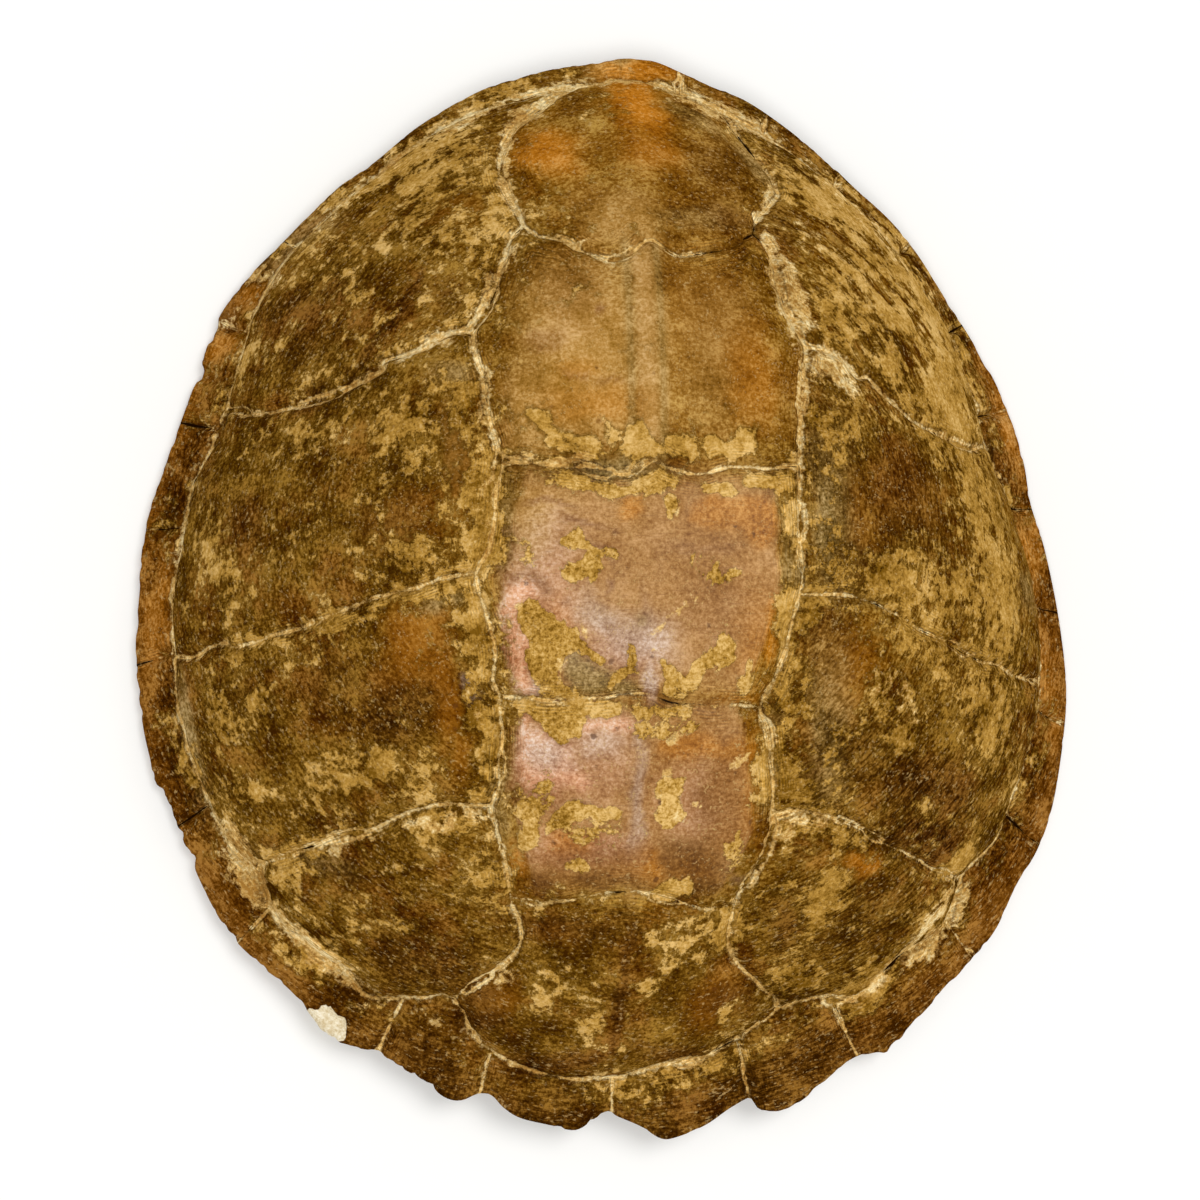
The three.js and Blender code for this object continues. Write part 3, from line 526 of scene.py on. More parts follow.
def signed_distance(at, line):
    """Distance in plan from points to a line of straight stretches, positive on its left hand."""
    best = np.full(len(at), 1e9)
    for a, b in zip(line[:-1], line[1:]):
        along = b - a
        part = np.clip(((at - a) @ along) / (along @ along), 0, 1)
        off = at - a - part[:, None] * along
        gap = np.hypot(off[:, 0], off[:, 1])
        left = along[0] * off[:, 1] - along[1] * off[:, 0] >= 0
        best = np.where(gap < np.abs(best), np.where(left, gap, -gap), best)
    return best


def nearest(*fields):
    """Of several signed distances, the one nearest to zero at each point."""
    fields = np.stack(fields)
    return np.take_along_axis(fields, np.abs(fields).argmin(0)[None], 0)[0]


def lattice_noise(points, size, seed):
    """Random heights from -1 to 1 on a turned cubic lattice of the given spacing, joined smoothly
    between the eight corners round each point."""
    random = np.random.default_rng(seed)
    table = random.uniform(-1, 1, 4096)
    turn = np.linalg.qr(random.normal(size=(3, 3)))[0]
    place = points @ turn / size
    cell = np.floor(place).astype(int)
    part = place - cell
    part = part * part * (3 - 2 * part)
    total = np.zeros(len(points))
    for corner in np.ndindex(2, 2, 2):
        key = (cell + corner) @ np.array([73856093, 19349663, 83492791]) & 4095
        total += table[key] * np.prod(np.where(corner, part, 1 - part), axis=1)
    return total


def noise_sum(points, parts):
    """Sum of lattice noises, each given as weight, spacing in mm and seed."""
    return sum(weight * lattice_noise(points, size, seed) for weight, size, seed in parts)


def smoothstep(low, high, value):
    """0 below low and 1 above high, with a smooth rise between them."""
    t = np.clip((value - low) / (high - low), 0, 1)
    return t * t * (3 - 2 * t)


def bell(offset, half_width, power=2):
    """exp(-(offset / half width)^power): 1 in the middle and near 0 past twice the half width."""
    return np.exp(-np.abs(offset / half_width) ** power)


FAR_FROM_SEAM = 30


def seam_fields(points, bearing):
    """Signed distances in mm to the long seams, to the cross seams and to the gutter. The sign of
    the cross seams alternates, so that it changes only on a seam. The rim has no long seam."""
    wander = np.stack([lattice_noise(points, 6, 11), lattice_noise(points, 6, 12)], -1)
    at = points[:, :2] + 0.5 * wander
    left = signed_distance(at, smooth_line(LEFT_SEAM, steps=2))
    right = -signed_distance(at, smooth_line(RIGHT_SEAM, steps=2))
    gutter = -signed_distance(at, smooth_line(GUTTER + GUTTER[:1], steps=3))
    long_seam = nearest(left, right)

    def across(lines):
        return nearest(*((-1) ** k * signed_distance(at, smooth_line(line, steps=3))
                         for k, line in enumerate(lines)))

    cross = np.where(long_seam > 0, across(BACK_SEAMS),
                     np.where(at[:, 0] < 0, across(LEFT_SEAMS), across(RIGHT_SEAMS)))
    turn = np.degrees(bearing)[:, None] - np.array(RIM_SEAMS)
    gaps = np.radians((turn + 180) % 360 - 180) * rim_radius(bearing)[:, None]
    between = nearest(*(gaps * (-1) ** np.arange(len(RIM_SEAMS))).T)
    on_rim = gutter <= 0
    cross = np.where(on_rim, between, cross)
    long_seam = np.where(on_rim, FAR_FROM_SEAM, long_seam)
    return long_seam, cross, gutter


def patches(at, rows, ragged=1.0, power=3):
    """The strongest of several soft ellipses at each point, with edges that wander: strength
    times exp(-(dx / half length)^power - (dy / half width)^power)."""
    wander = np.stack([noise_sum(at, [(1, 9, seed + 9), (0.7, 4, seed + 4), (0.5, 2, seed + 2)])
                       for seed in (20, 40)], -1)
    place = at[:, :2] + 1.8 * ragged * wander
    strongest = np.zeros(len(at))
    for x, y, length, width, turn, strength in rows:
        c, s = np.cos(np.radians(turn)), np.sin(np.radians(turn))
        dx, dy = (place - (x, y)).T
        soft = bell(c * dx + s * dy, length, power) * bell(c * dy - s * dx, width, power)
        strongest = np.maximum(strongest, strength * soft)
    return strongest


def shapes(at, outlines):
    """1 inside any of several closed outlines and 0 outside, with a soft ragged edge. A point is
    inside where a ray from it to the right crosses the outline an odd number of times."""
    wander = [noise_sum(at, [(0.9, 4, seed), (0.8, 1.8, seed + 2)]) for seed in (51, 52)]
    ragged = at[:, :2] + np.stack(wander, -1)
    total = np.zeros(len(at))
    for outline in outlines:
        line = smooth_line(outline, closed=True, steps=2)
        near = np.flatnonzero((np.abs(ragged - line.mean(0)) < np.ptp(line, axis=0)).all(1))
        place = ragged[near]
        ends = np.roll(line, -1, axis=0)
        crossings = sum(((a[1] > place[:, 1]) != (b[1] > place[:, 1]))
                        & (place[:, 0] < a[0] + (b[0] - a[0]) * (place[:, 1] - a[1])
                           / (b[1] - a[1] + 1e-9)) for a, b in zip(line, ends))
        gap = np.abs(signed_distance(place, np.vstack([line, line[:1]])))
        inside = smoothstep(-1.8, 1.5, np.where(crossings % 2, gap, -gap))
        total[near] = np.maximum(total[near], inside)
    return total


KEEL_STRIPE_X = -2


def skin_fields(points, bearing):
    """What the horn is like at each point: the seam distances in mm, and shares from 0 to 1 of the
    stains, of the painted sheen and of the flaking crust. The crust is a sum of noise of four
    sizes, raised in its patches and near seams, lowered on clean horn, and stands where it passes
    one half."""
    long_seam, cross_seam, gutter = seam_fields(points, bearing)
    seam = np.minimum(np.minimum(np.abs(long_seam), np.abs(cross_seam)), np.abs(gutter))
    back = smoothstep(-1, 2, long_seam) * smoothstep(-1, 2, gutter)
    aside = np.abs(np.sin(bearing))
    fields = {"seam_long": long_seam, "seam_cross": cross_seam, "seam_rim": gutter, "seam": seam}
    fields |= {name: patches(points, rows) for name, rows in STAINS_AND_PAINTED_SHEEN.items()}

    def lay(name, share):
        fields[name] = np.maximum(fields[name], share)

    # A tan stripe with olive borders runs along the keel on the second back scute.
    from_stripe = np.abs(points[:, 0] - KEEL_STRIPE_X)
    stripe = smoothstep(22, 28, points[:, 1]) * smoothstep(94, 88, points[:, 1]) * back
    middle = stripe * bell(from_stripe, 2.8, 4)
    lay("tan", middle)
    lay("painted_sheen_and_grey", 0.05 * middle)
    lay("olive", 0.6 * stripe * bell(from_stripe - 4.3, 1.3))

    traced = {name: shapes(points, outlines) for name, outlines in SHAPES.items()}
    fields["salmon"], fields["chip"] = 0.9 * traced["salmon"], traced["chip"]
    for name, share in [("orange", 0.6), ("marks", 0.8), ("olive", 0.9)]:
        lay(name, share * traced[name])

    # The rim is redder along the flanks, where its seams are open, and darker at the tail.
    outside = smoothstep(4, 10, -gutter)
    side = smoothstep(0.3, 0.8, aside)
    rear = smoothstep(0.1, -0.4, np.cos(bearing))
    tail = smoothstep(-0.6, -0.85, np.cos(bearing))
    fields["edge"] = 0.8 * (gutter < 0) * aside
    lay("orange", 0.3 * side * outside)
    lay("dark", 0.55 * rear * outside)
    lay("open", 0.7 * side * (1 - tail) * (gutter < -1))

    plate = smoothstep(6, 7.5, np.abs(long_seam) + 0.8 * lattice_noise(points, 7, 35)) * back
    fields["plate"] = plate
    fields["bare"] = patches(points, WORN_PLATES, 0.6, 8) * plate
    thin = fields["bare"] + fields["amber"] + fields["orange"] + 0.6 * fields["tan"]
    fields["smooth"] = np.clip(thin, 0, 1)
    fields["long_streaks"] = patches(points, LONG_STREAKS)
    fields["streaks"] = (1 - back) * (0.5 + 0.3 * smoothstep(20, 50, points[:, 0]))

    crusted = np.maximum(patches(points, CRUST), traced["crust"])
    crust = 0.38 + noise_sum(points, [(0.12, 24, 31), (0.13, 12, 32), (0.1, 6, 33), (0.08, 3, 34)])
    crust += (0.3 + 0.18 * fields["bare"]) * crusted
    crust -= (0.12 * back + 0.18 * fields["smooth"] + 0.16 * fields["dark"]) * (1 - crusted)
    crust -= 0.1 * (gutter < 0) * aside + 0.15 * rear * outside
    crust -= 0.5 * patches(points, CLEAN, 0.3)
    fields["crust"] = crust + 0.08 * np.exp(-seam / 3) + 0.05 * bell(long_seam, 8)
    return fields


KEEL_HEIGHT, KEEL_HALF_WIDTH = 1.8, 7
# Swellings of the flank scutes: x, y, half width and height.
FLANK_KNOBS = [
    (-66, 92, 26, 1.8), (-64, 38, 26, 2.4), (-64, -20, 26, 2.6), (-56, -74, 22, 2.4),
    (62, 94, 26, 1.8), (64, 38, 26, 2.4), (62, -22, 26, 2.6), (58, -76, 22, 2.4),
]
UNROLLED_RADIUS = 130


def flow_place(bearing, radius):
    """Place on the unrolled shell in metres: the way round it at the unrolled radius, and the
    distance from the apex. Fibres in the horn follow it."""
    return np.stack([bearing * UNROLLED_RADIUS, radius, 0 * radius], -1) * MM


skin = skin_fields(top, bearing)
long_seam, gutter = skin["seam_long"], skin["seam_rim"]
seam, plate = skin.pop("seam"), skin.pop("plate")
on_back = smoothstep(0, 3, long_seam) * smoothstep(0, 3, gutter)
towards_middle = np.clip((1 - top_radius / dome_radius(bearing)) / 0.25, 0, 1)
x, y = top[:, 0], top[:, 1]
flow = flow_place(bearing, top_radius)

keel = KEEL_HEIGHT * bell(x, KEEL_HALF_WIDTH)
knobs = sum(rise * bell(np.hypot(x - knob_x, y - knob_y), size)
            for knob_x, knob_y, size, rise in FLANK_KNOBS)
swell = -1.7 * np.exp(-seam / 5)
groove = -0.6 * bell(seam, 1.1) + 0.4 * bell(seam - 2.4, 1.1)
plates = 0.7 * plate - 0.4 * on_back
from_tail = np.degrees(np.abs(np.pi - bearing))
trough = -1.6 * bell(gutter, 4) * smoothstep(150, 105, from_tail)
flakes = 0.35 * smoothstep(0.46, 0.58, skin["crust"]) - 0.7 * smoothstep(0.3, 0.6, skin["chip"])
waves = noise_sum(top, [(0.7, 38, 1), (0.35, 15, 2), (0.14, 6, 3), (0.07, 2.6, 4)])
top = top + np.stack([0 * x, 0 * x, (keel + knobs) * towards_middle], -1)
edge_fade = smoothstep(1, 0.985, share)
relief = swell + groove + plates + trough + flakes + waves
top = top + top_outward * (relief * edge_fade)[:, None]

# Broken places on the rim: bearing in degrees, half width and depth.
BROKEN = [
    (291, 2.5, 1.6), (296.5, 3.5, 1.0), (209.5, 5, 0.9), (232, 3, 0.9), (150, 2, 0.8),
    (63, 3, 0.5),
]


def rim_chips(bearing):
    """How far in mm the rim is chipped back at each bearing: noise of 9, 4 and 2 mm where it is
    above zero, deepest over the tail, and a few broken places, each a bell curve."""
    radius = rim_radius(bearing)
    at = np.stack([radius * np.sin(bearing), radius * np.cos(bearing), 0 * radius], -1)
    rough = noise_sum(at, [(1, 9, 41), (1, 4, 42), (1, 2, 43)])
    turn = np.degrees(bearing)
    depth = 0.35 + 0.5 * smoothstep(150, 190, turn) * smoothstep(262, 240, turn)
    chips = depth * np.clip(rough, 0, 1.5)
    for place, half_width, deep in BROKEN:
        chips += deep * bell(np.radians(turn - place) * radius, half_width, 4)
    return chips


top_inward = np.stack([-np.sin(bearing), -np.cos(bearing), 0 * bearing], -1)
top = top + top_inward * (rim_chips(bearing) * smoothstep(0.93, 1, share))[:, None]


# ---- the carapace: rim and underside ----
# The rim's edge is rounded and its underside is a narrow level lip, on which the shell rests.
# Inside, the wall follows the dome. The backbone and the ribs are grown to it and stand out as
# a ridge along the middle with low bands on both sides.

SPINE_HEIGHT, SPINE_HALF_WIDTH = 7, 6
RIB_SPACING, RIB_HEIGHT, RIB_HALF_WIDTH = 27, 1.3, 5.5

top_edge = disc_edge(TOP_RINGS, 0)
rim_bearing = bearing[top_edge]
lift, rim = rim_lift(rim_bearing), rim_radius(rim_bearing) - rim_chips(rim_bearing)
edge_top = top[top_edge, 2]


def rim_row(radius, height):
    """A closed row of points at each rim bearing's radius and height."""
    east, north = np.sin(rim_bearing), np.cos(rim_bearing)
    return np.stack([radius * east, APEX[1] + radius * north, height], -1)


rows = []
for turn in np.radians([60, 30, 0, -30, -60, -90]):
    middle, half = (edge_top + lift) / 2, (edge_top - lift) / 2
    rows.append(rim_row(rim - EDGE_ROUNDING * (1 - np.cos(turn)), middle + half * np.sin(turn)))
lip = 5 + 3 * np.sin(rim_bearing) ** 2
rows.append(rim_row(rim - (EDGE_ROUNDING + lip) / 2, lift))
rows.append(rim_row(rim - lip, lift))

UNDER_RINGS = TOP_RINGS // 2
under_share, under_bearing = disc_grid(UNDER_RINGS)
under_radius = dome_radius(under_bearing) * under_share * (1.15 - 0.15 * under_share)
under, under_outward = plain_points(under_radius, under_bearing)
under = under - WALL * under_outward
ux, uy = under[:, 0], under[:, 1]
vertebra = 0.5 + 0.5 * np.cos(2 * np.pi * (uy - 20) / RIB_SPACING)
spine_reach = smoothstep(0.97, 0.85, under_share)
spine = SPINE_HEIGHT * bell(ux, SPINE_HALF_WIDTH + 2.5 * vertebra, 4)
spine = spine * (0.75 + 0.25 * vertebra) * spine_reach
rib_place = uy - 0.06 * np.abs(ux) * np.sign(uy - APEX[1]) + 4
jagged = rib_place + RIB_SPACING / 2 + noise_sum(under, [(1.6, 5, 7), (0.8, 2.5, 8)])
suture = RIB_SPACING / np.pi * np.arcsin(np.sin(np.pi / RIB_SPACING * jagged))
from_rib = rib_place - RIB_SPACING * np.round(rib_place / RIB_SPACING)
ribs = RIB_HEIGHT * bell(from_rib, RIB_HALF_WIDTH)
ribs = ribs * smoothstep(0.96, 0.7, under_share) * smoothstep(5, 16, np.abs(ux))
hollow_waves = noise_sum(under, [(0.5, 22, 5), (0.2, 7, 6)])
under = under - under_outward * (spine + ribs + hollow_waves * spine_reach)[:, None]

HORN_ROWS = len(rows)
under_edge = disc_edge(UNDER_RINGS, 0)
wall_foot = np.repeat(under[under_edge], 2, axis=0)
wall_foot = (wall_foot + np.roll(wall_foot, -1, axis=0)) / 2
rows.append((rows[-1] + wall_foot) / 2)

points = np.vstack([top, *rows, under])
first_row = len(top)
row_length = len(top_edge)
first_under = first_row + row_length * len(rows)

loops = [top_edge] + [first_row + k * row_length + np.arange(row_length) for k in range(len(rows))]
squares = [disc_faces(TOP_RINGS, 0, True), disc_faces(UNDER_RINGS, first_under, False)]
for inner, outer in zip(loops[:-1], loops[1:]):
    squares.append(np.stack([inner, np.roll(inner, -1), np.roll(outer, -1), outer], -1))
squares = np.vstack(squares)
# The last row has two points for each one on the underside's edge, so triangles join them.
fine, coarse = loops[-1], disc_edge(UNDER_RINGS, first_under)
even, odd, after = fine[0::2], fine[1::2], np.roll(fine[0::2], -1)
triangles = np.vstack([
    np.stack([even, odd, coarse], -1),
    np.stack([odd, np.roll(coarse, -1), coarse], -1),
    np.stack([odd, after, np.roll(coarse, -1)], -1),
])

mesh = bpy.data.meshes.new("carapace_shell")
mesh.from_pydata((points * MM).tolist(), [], squares.tolist() + triangles.tolist())
mesh.polygons.foreach_set("use_smooth", np.ones(len(mesh.polygons), bool))


def store(name, values, kind="FLOAT", key="value"):
    """Puts one value or vector for each point on the mesh as a named attribute."""
    mesh.attributes.new(name, kind, "POINT").data.foreach_set(key, values.ravel())


rim_skin = skin_fields(np.vstack(rows[:HORN_ROWS]), np.tile(rim_bearing, HORN_ROWS))
for name, values in skin.items():
    values = np.concatenate([values, rim_skin[name]])
    store(name, np.pad(values, (0, len(points) - len(values))))
flow = np.vstack([flow, np.tile(flow_place(rim_bearing, rim), (HORN_ROWS, 1))])
store("flow", np.pad(flow, ((0, len(points) - len(flow)), (0, 0))), "FLOAT_VECTOR", "vector")
for name, values in [("suture", suture), ("depth", 1 - under_share)]:
    store(name, np.pad(values, (len(points) - len(values), 0)))
bone_from = first_row + row_length * (HORN_ROWS - 1)
is_bone = np.concatenate([squares.min(axis=1), triangles.min(axis=1)]) >= bone_from
mesh.polygons.foreach_set("material_index", is_bone.astype(np.int32))
mesh.update()
carapace = bpy.data.objects.new("carapace_shell", mesh)
bpy.context.scene.collection.objects.link(carapace)


# ---- the carapace: horn ----
# Dried keratin over bone. Whole horn is brown and dull, the worn plates are lighter with a faint
# sheen, and the ochre crust that flakes from it is rough. Pale bone shows in the seams.


def linear(colour):
    """An sRGB hex colour such as #7a5420 as linear red, green, blue and alpha 1."""
    channels = [int(colour[i:i + 2], 16) / 255 for i in (1, 3, 5)]
    return [c / 12.92 if c <= 0.04045 else ((c + 0.055) / 1.055) ** 2.4 for c in channels] + [1]


def add(tree, kind, inputs=None, out=0, stops=(), **settings):
    """Adds a node, sets its properties, its inputs by name or number (a value or a link) and the
    places and colours of its colour ramp. Gives one of its outputs."""
    node = tree.nodes.new(kind)
    for name, value in settings.items():
        setattr(node, name, value)
    for key, value in (inputs or {}).items():
        if isinstance(value, bpy.types.NodeSocket):
            tree.links.new(value, node.inputs[key])
        else:
            node.inputs[key].default_value = value
    for number, (place, colour) in enumerate(stops):
        ramp = node.color_ramp.elements
        stop = ramp[number] if number < 2 else ramp.new(place)
        stop.position, stop.color = place, linear(colour)
    return node.outputs[out]


def maths(tree, operation, *values):
    """One step of arithmetic on values or links."""
    return add(tree, "ShaderNodeMath", dict(enumerate(values)), operation=operation)


def weighted(tree, start, *parts):
    """Start plus the sum of each part times its weight."""
    for part, weight in parts:
        start = maths(tree, "MULTIPLY_ADD", part, weight, start)
    return start


METRE = 1000


def noise(tree, place, size, detail, roughness=0.5, distortion=0):
    """Noise from 0 to 1 whose widest bumps have the given size in mm, or sizes along x and y."""
    if isinstance(size, tuple):
        steps = (METRE / size[0], METRE / size[1], 1)
        place = add(tree, "ShaderNodeVectorMath", {0: place, 1: steps}, operation="MULTIPLY")
        size = METRE
    return add(tree, "ShaderNodeTexNoise", {
        "Vector": place, "Scale": METRE / size, "Detail": detail, "Roughness": roughness,
        "Distortion": distortion})


def rise(tree, value, low, high, first=0, last=1, curve="SMOOTHSTEP"):
    """Goes from first, where the value is low, to last, where it is high, and stays there."""
    return add(tree, "ShaderNodeMapRange", {0: value, 1: low, 2: high, 3: first, 4: last},
               interpolation_type=curve)


def layered(tree, colour, layers):
    """A colour with other colours laid over it in turn, each by its share."""
    for amount, layer in layers:
        colour = add(tree, "ShaderNodeMix", {0: amount, 6: colour, 7: layer}, 2, data_type="RGBA")
    return colour


horn = bpy.data.materials.new("weathered_horn")
horn.use_nodes = True
tree = horn.node_tree
shader = tree.nodes["Principled BSDF"]
place = add(tree, "ShaderNodeTexCoord", out=3)
field = {name: add(tree, "ShaderNodeAttribute", out=2, attribute_name=name) for name in skin}
flow = add(tree, "ShaderNodeAttribute", out=1, attribute_name="flow")

# Noise in the horn: blotches of 14 mm down to a fraction of one, a grain of 1.1 mm, a lacy noise
# of 4 mm, fibres 5 mm long and 0.8 mm wide, and long streaks of 45 by 5 mm. The last two run
# round the shell on the flanks.
blotches = noise(tree, place, 14, 9, 0.66)
grain = maths(tree, "ADD", noise(tree, place, 1.1, 3, 0.7), -0.5)
lace = maths(tree, "ADD", noise(tree, place, 4, 8, 0.74), -0.5)
fibres = noise(tree, flow, (5, 0.8), 6, 0.62, 0.4)
fibres = maths(tree, "MULTIPLY", maths(tree, "ADD", fibres, -0.5), field["streaks"])
long_fibres = noise(tree, flow, (45, 5), 4, 0.6, 0.3)
long_fibres = maths(tree, "MULTIPLY", maths(tree, "ADD", long_fibres, -0.5), field["long_streaks"])
plate_grain = maths(tree, "MULTIPLY", grain, field["bare"])
tone = weighted(tree, maths(tree, "ADD", blotches, -0.5), (grain, 0.85), (plate_grain, 0.4),
                (fibres, 1.1), (long_fibres, 1.1))
contrast = weighted(tree, 1.4, (field["honey"], -0.15), (field["smooth"], -0.45))
tone = weighted(tree, 0.5, (tone, contrast))

# Each kind of horn goes from its darkest to its lightest brown with the same tone.
LOW, MIDDLE, HIGH = 0.25, 0.5, 0.75
KINDS = {
    "whole": ["#381d01", "#614009", "#9f762c"],
    "russet": ["#3d1b01", "#6d430d", "#a37230"],
    "honey": ["#592f00", "#8f5f14", "#c39a4a"],
    "tan": ["#8a6017", "#b28540", "#d8ae70"],
    "amber": ["#5c2f01", "#87520e", "#b0792e"],
    "orange": ["#8a4a00", "#c0781c", "#e8a654"],
    "olive": ["#483612", "#8a6e38", "#c4a670"],
    "dark": ["#210d00", "#492808", "#80541f"],
    "bare": ["#82521e", "#a97a42", "#cb9c66"],
    # Mostly a painted sheen on the worn plates; a little of it pales the keel stripe.
    "painted_sheen_and_grey": ["#846650", "#bea38c", "#e6d8cb"],
    "marks": ["#5d3312", "#875a33", "#ab815d"],
    # Pink horn, and in places a painted sheen.
    "rosy_and_painted_sheen": ["#925c34", "#be8862", "#e4bca2"],
    "edge": ["#280e00", "#613608", "#a27030"],
    "salmon": ["#b4744a", "#e2a87e", "#f4d6be"],
    "chip": ["#cdb88f", "#e9dcbd", "#fcf6e8"],
    "cream": ["#a47634", "#d8ae64", "#f8e0a6"],
}
colour_of = {}
for name, browns in KINDS.items():
    colour_of[name] = add(tree, "ShaderNodeValToRGB", {0: tone},
                          stops=zip((LOW, MIDDLE, HIGH), browns))

# The crust stands where its field, roughened by the lacy noise and the fibres, passes one half.
# A thin film of it reaches a little further on horn that isn't bare. Its own tone is made of
# the blotches, the grain and the lace.
crust_level = weighted(tree, field["crust"], (lace, 1.55), (plate_grain, 0.45), (fibres, 0.7),
                       (long_fibres, 1.2))
crust = rise(tree, crust_level, 0.48, 0.56)
film = rise(tree, crust_level, 0.34, 0.5, 0, 0.55)
film = maths(tree, "MULTIPLY", film, weighted(tree, 1, (field["bare"], -1)))
crust_tone = weighted(tree, blotches, (grain, 0.7), (lace, 0.5), (plate_grain, 0.4),
                      (field["streaks"], -0.14), (field["long_streaks"], 0.14))
crust_colour, film_colour = (
    add(tree, "ShaderNodeValToRGB", {0: crust_tone}, stops=zip((0.28, 0.5, 0.72), browns))
    for browns in [("#745010", "#b68a3c", "#e2ba72"), ("#4c3004", "#7f5a14", "#ac8230")])

# Pale specks of 1.5 by 0.8 mm lie along the fibres and stand in clusters. Fine dark scratches of
# 6 by 0.6 mm run across the worn plates, and dark pits lie scattered on them about 7 mm apart.
speck_noise = noise(tree, flow, (1.5, 0.8), 2, 0.6)
specks = rise(tree, weighted(tree, speck_noise, (lace, 0.8)), 0.6, 0.72, 0, 0.55, "LINEAR")
scratch_noise = noise(tree, place, (6, 0.6), 3, 0.65)
scratch_level = weighted(tree, scratch_noise, (field["marks"], 0.12))
scratches = rise(tree, scratch_level, 0.56, 0.68, 0, 0.35, "LINEAR")
scratches = maths(tree, "MULTIPLY", scratches, field["bare"])
pit_gap = add(tree, "ShaderNodeTexVoronoi", {"Vector": place, "Scale": METRE / 7})
pits = rise(tree, weighted(tree, pit_gap, (lace, 0.6)), 0.12, 0.05, 0, 0.8, "LINEAR")
pits = maths(tree, "MULTIPLY", pits, field["smooth"])

# Cream stains and the chip have lacy edges too.
cream = rise(tree, weighted(tree, field["cream"], (lace, 2.6)), 0.42, 0.75)
chip = rise(tree, weighted(tree, field["chip"], (lace, 0.25)), 0.36, 0.44)

# Distance to the nearest seam in millimetres. The pale edge of the bone shows beside it as one
# line or, where the seam gapes, as two, with a dark border. A crack opens in places.
edges = [maths(tree, "ABSOLUTE", field[name]) for name in ("seam_long", "seam_cross", "seam_rim")]
seam_gap = maths(tree, "MINIMUM", maths(tree, "MINIMUM", edges[0], edges[1]), edges[2])
gape = rise(tree, noise(tree, place, 18, 3), 0.54, 0.64, 0, 1.2)
line_gap = maths(tree, "ABSOLUTE", maths(tree, "SUBTRACT", seam_gap, gape))
seam_noise = noise(tree, place, 5, 7, 0.75)
line_width = weighted(tree, -1.65, (seam_noise, 4.5), (field["cream"], 0.6), (field["open"], -0.9))
inside_line = maths(tree, "SUBTRACT", line_width, line_gap)
line = rise(tree, inside_line, -0.1, 0.35, 0, 0.9)
crack_noise = noise(tree, place, 12, 5, 0.6)
border = maths(tree, "MULTIPLY", rise(tree, inside_line, -0.8, -0.1, 0, 0.45),
               rise(tree, crack_noise, 0.42, 0.56))
crack_width = weighted(tree, -1.5, (crack_noise, 2.5), (field["open"], 0.55))
crack = rise(tree, maths(tree, "SUBTRACT", crack_width, seam_gap), -0.1, 0.15)

# Growth lines 0.8 mm apart run along the seams in patches, and coarser uneven ridges of 0.55 mm
# where the horn is ridged.
growth = maths(tree, "SINE", maths(tree, "MULTIPLY", seam_gap, 2 * np.pi / 0.8))
growth = maths(tree, "MULTIPLY", growth, rise(tree, seam_gap, 1, 9, 1.6, 0, "LINEAR"))
growth = maths(tree, "MULTIPLY", growth, rise(tree, seam_noise, 0.46, 0.6, curve="LINEAR"))
ridge_height = add(tree, "ShaderNodeCombineXYZ", {2: maths(tree, "MULTIPLY", seam_gap, 1 / 0.55)})
ridge_place = add(tree, "ShaderNodeVectorMath", {0: place, 1: (METRE / 8, METRE / 8, 0)},
                  operation="MULTIPLY")
ridge_place = add(tree, "ShaderNodeVectorMath", {0: ridge_place, 1: ridge_height},
                  operation="ADD")
ridges = maths(tree, "ADD", noise(tree, ridge_place, METRE, 3, 0.6), -0.5)
growth = weighted(tree, growth, (maths(tree, "MULTIPLY", ridges, field["ridged"]), 11))

# Layers laid over one another: whole horn, thin and stained horn, worn plates, crust, seams. The
# rosy and grey layers are in part a painted sheen on the worn plates.
russet = rise(tree, noise(tree, place, 20, 5, 0.6), 0.45, 0.65)
colour = layered(tree, colour_of["whole"], [(russet, colour_of["russet"])] + [
    (field[name], colour_of[name])
    for name in ("honey", "edge", "bare", "rosy_and_painted_sheen", "tan", "salmon", "orange", "painted_sheen_and_grey", "amber",
                 "dark", "olive", "marks")] + [
    (scratches, linear("#6f431f")), (pits, linear("#5a3312")), (film, film_colour),
    (crust, crust_colour), (cream, colour_of["cream"]), (border, linear("#3d2407")),
    (line, colour_of["cream"]), (specks, linear("#c8a468")), (chip, colour_of["chip"]),
    (crack, linear("#1c0c01"))])
growth_shade = weighted(tree, 1, (growth, 0.22))
colour = add(tree, "ShaderNodeVectorMath", {0: colour, "Scale": growth_shade}, operation="SCALE")
tree.links.new(colour, shader.inputs["Base Color"])

roughness = weighted(tree, 0.45, (crust, 0.35), (field["bare"], -0.1))
tree.links.new(roughness, shader.inputs["Roughness"])
coat = maths(tree, "MULTIPLY", field["bare"], weighted(tree, 0.35, (crust, -0.35)))
tree.links.new(coat, shader.inputs["Coat Weight"])
shader.inputs["Coat Roughness"].default_value = 0.38
shader.inputs["Coat IOR"].default_value = 1.45
shader.inputs["Specular IOR Level"].default_value = 0

# Heights in millimetres for the bump.
height = weighted(tree, 0, (grain, 0.4), (crust, 0.22), (film, 0.2), (lace, 0.5), (fibres, 0.6),
                  (growth, 0.06), (line, 0.2), (crack, -0.5))
bump = add(tree, "ShaderNodeBump", {"Height": height, "Distance": MM, "Strength": 0.8})
tree.links.new(bump, shader.inputs["Normal"])
mesh.materials.append(horn)


# ---- the carapace: bare bone ----
# Inside the shell the bone is bare and matt, pale tan with brown stains towards the rim. Wavy
# sutures part the bony plates between the ribs, and fine pores and grooves cover it.

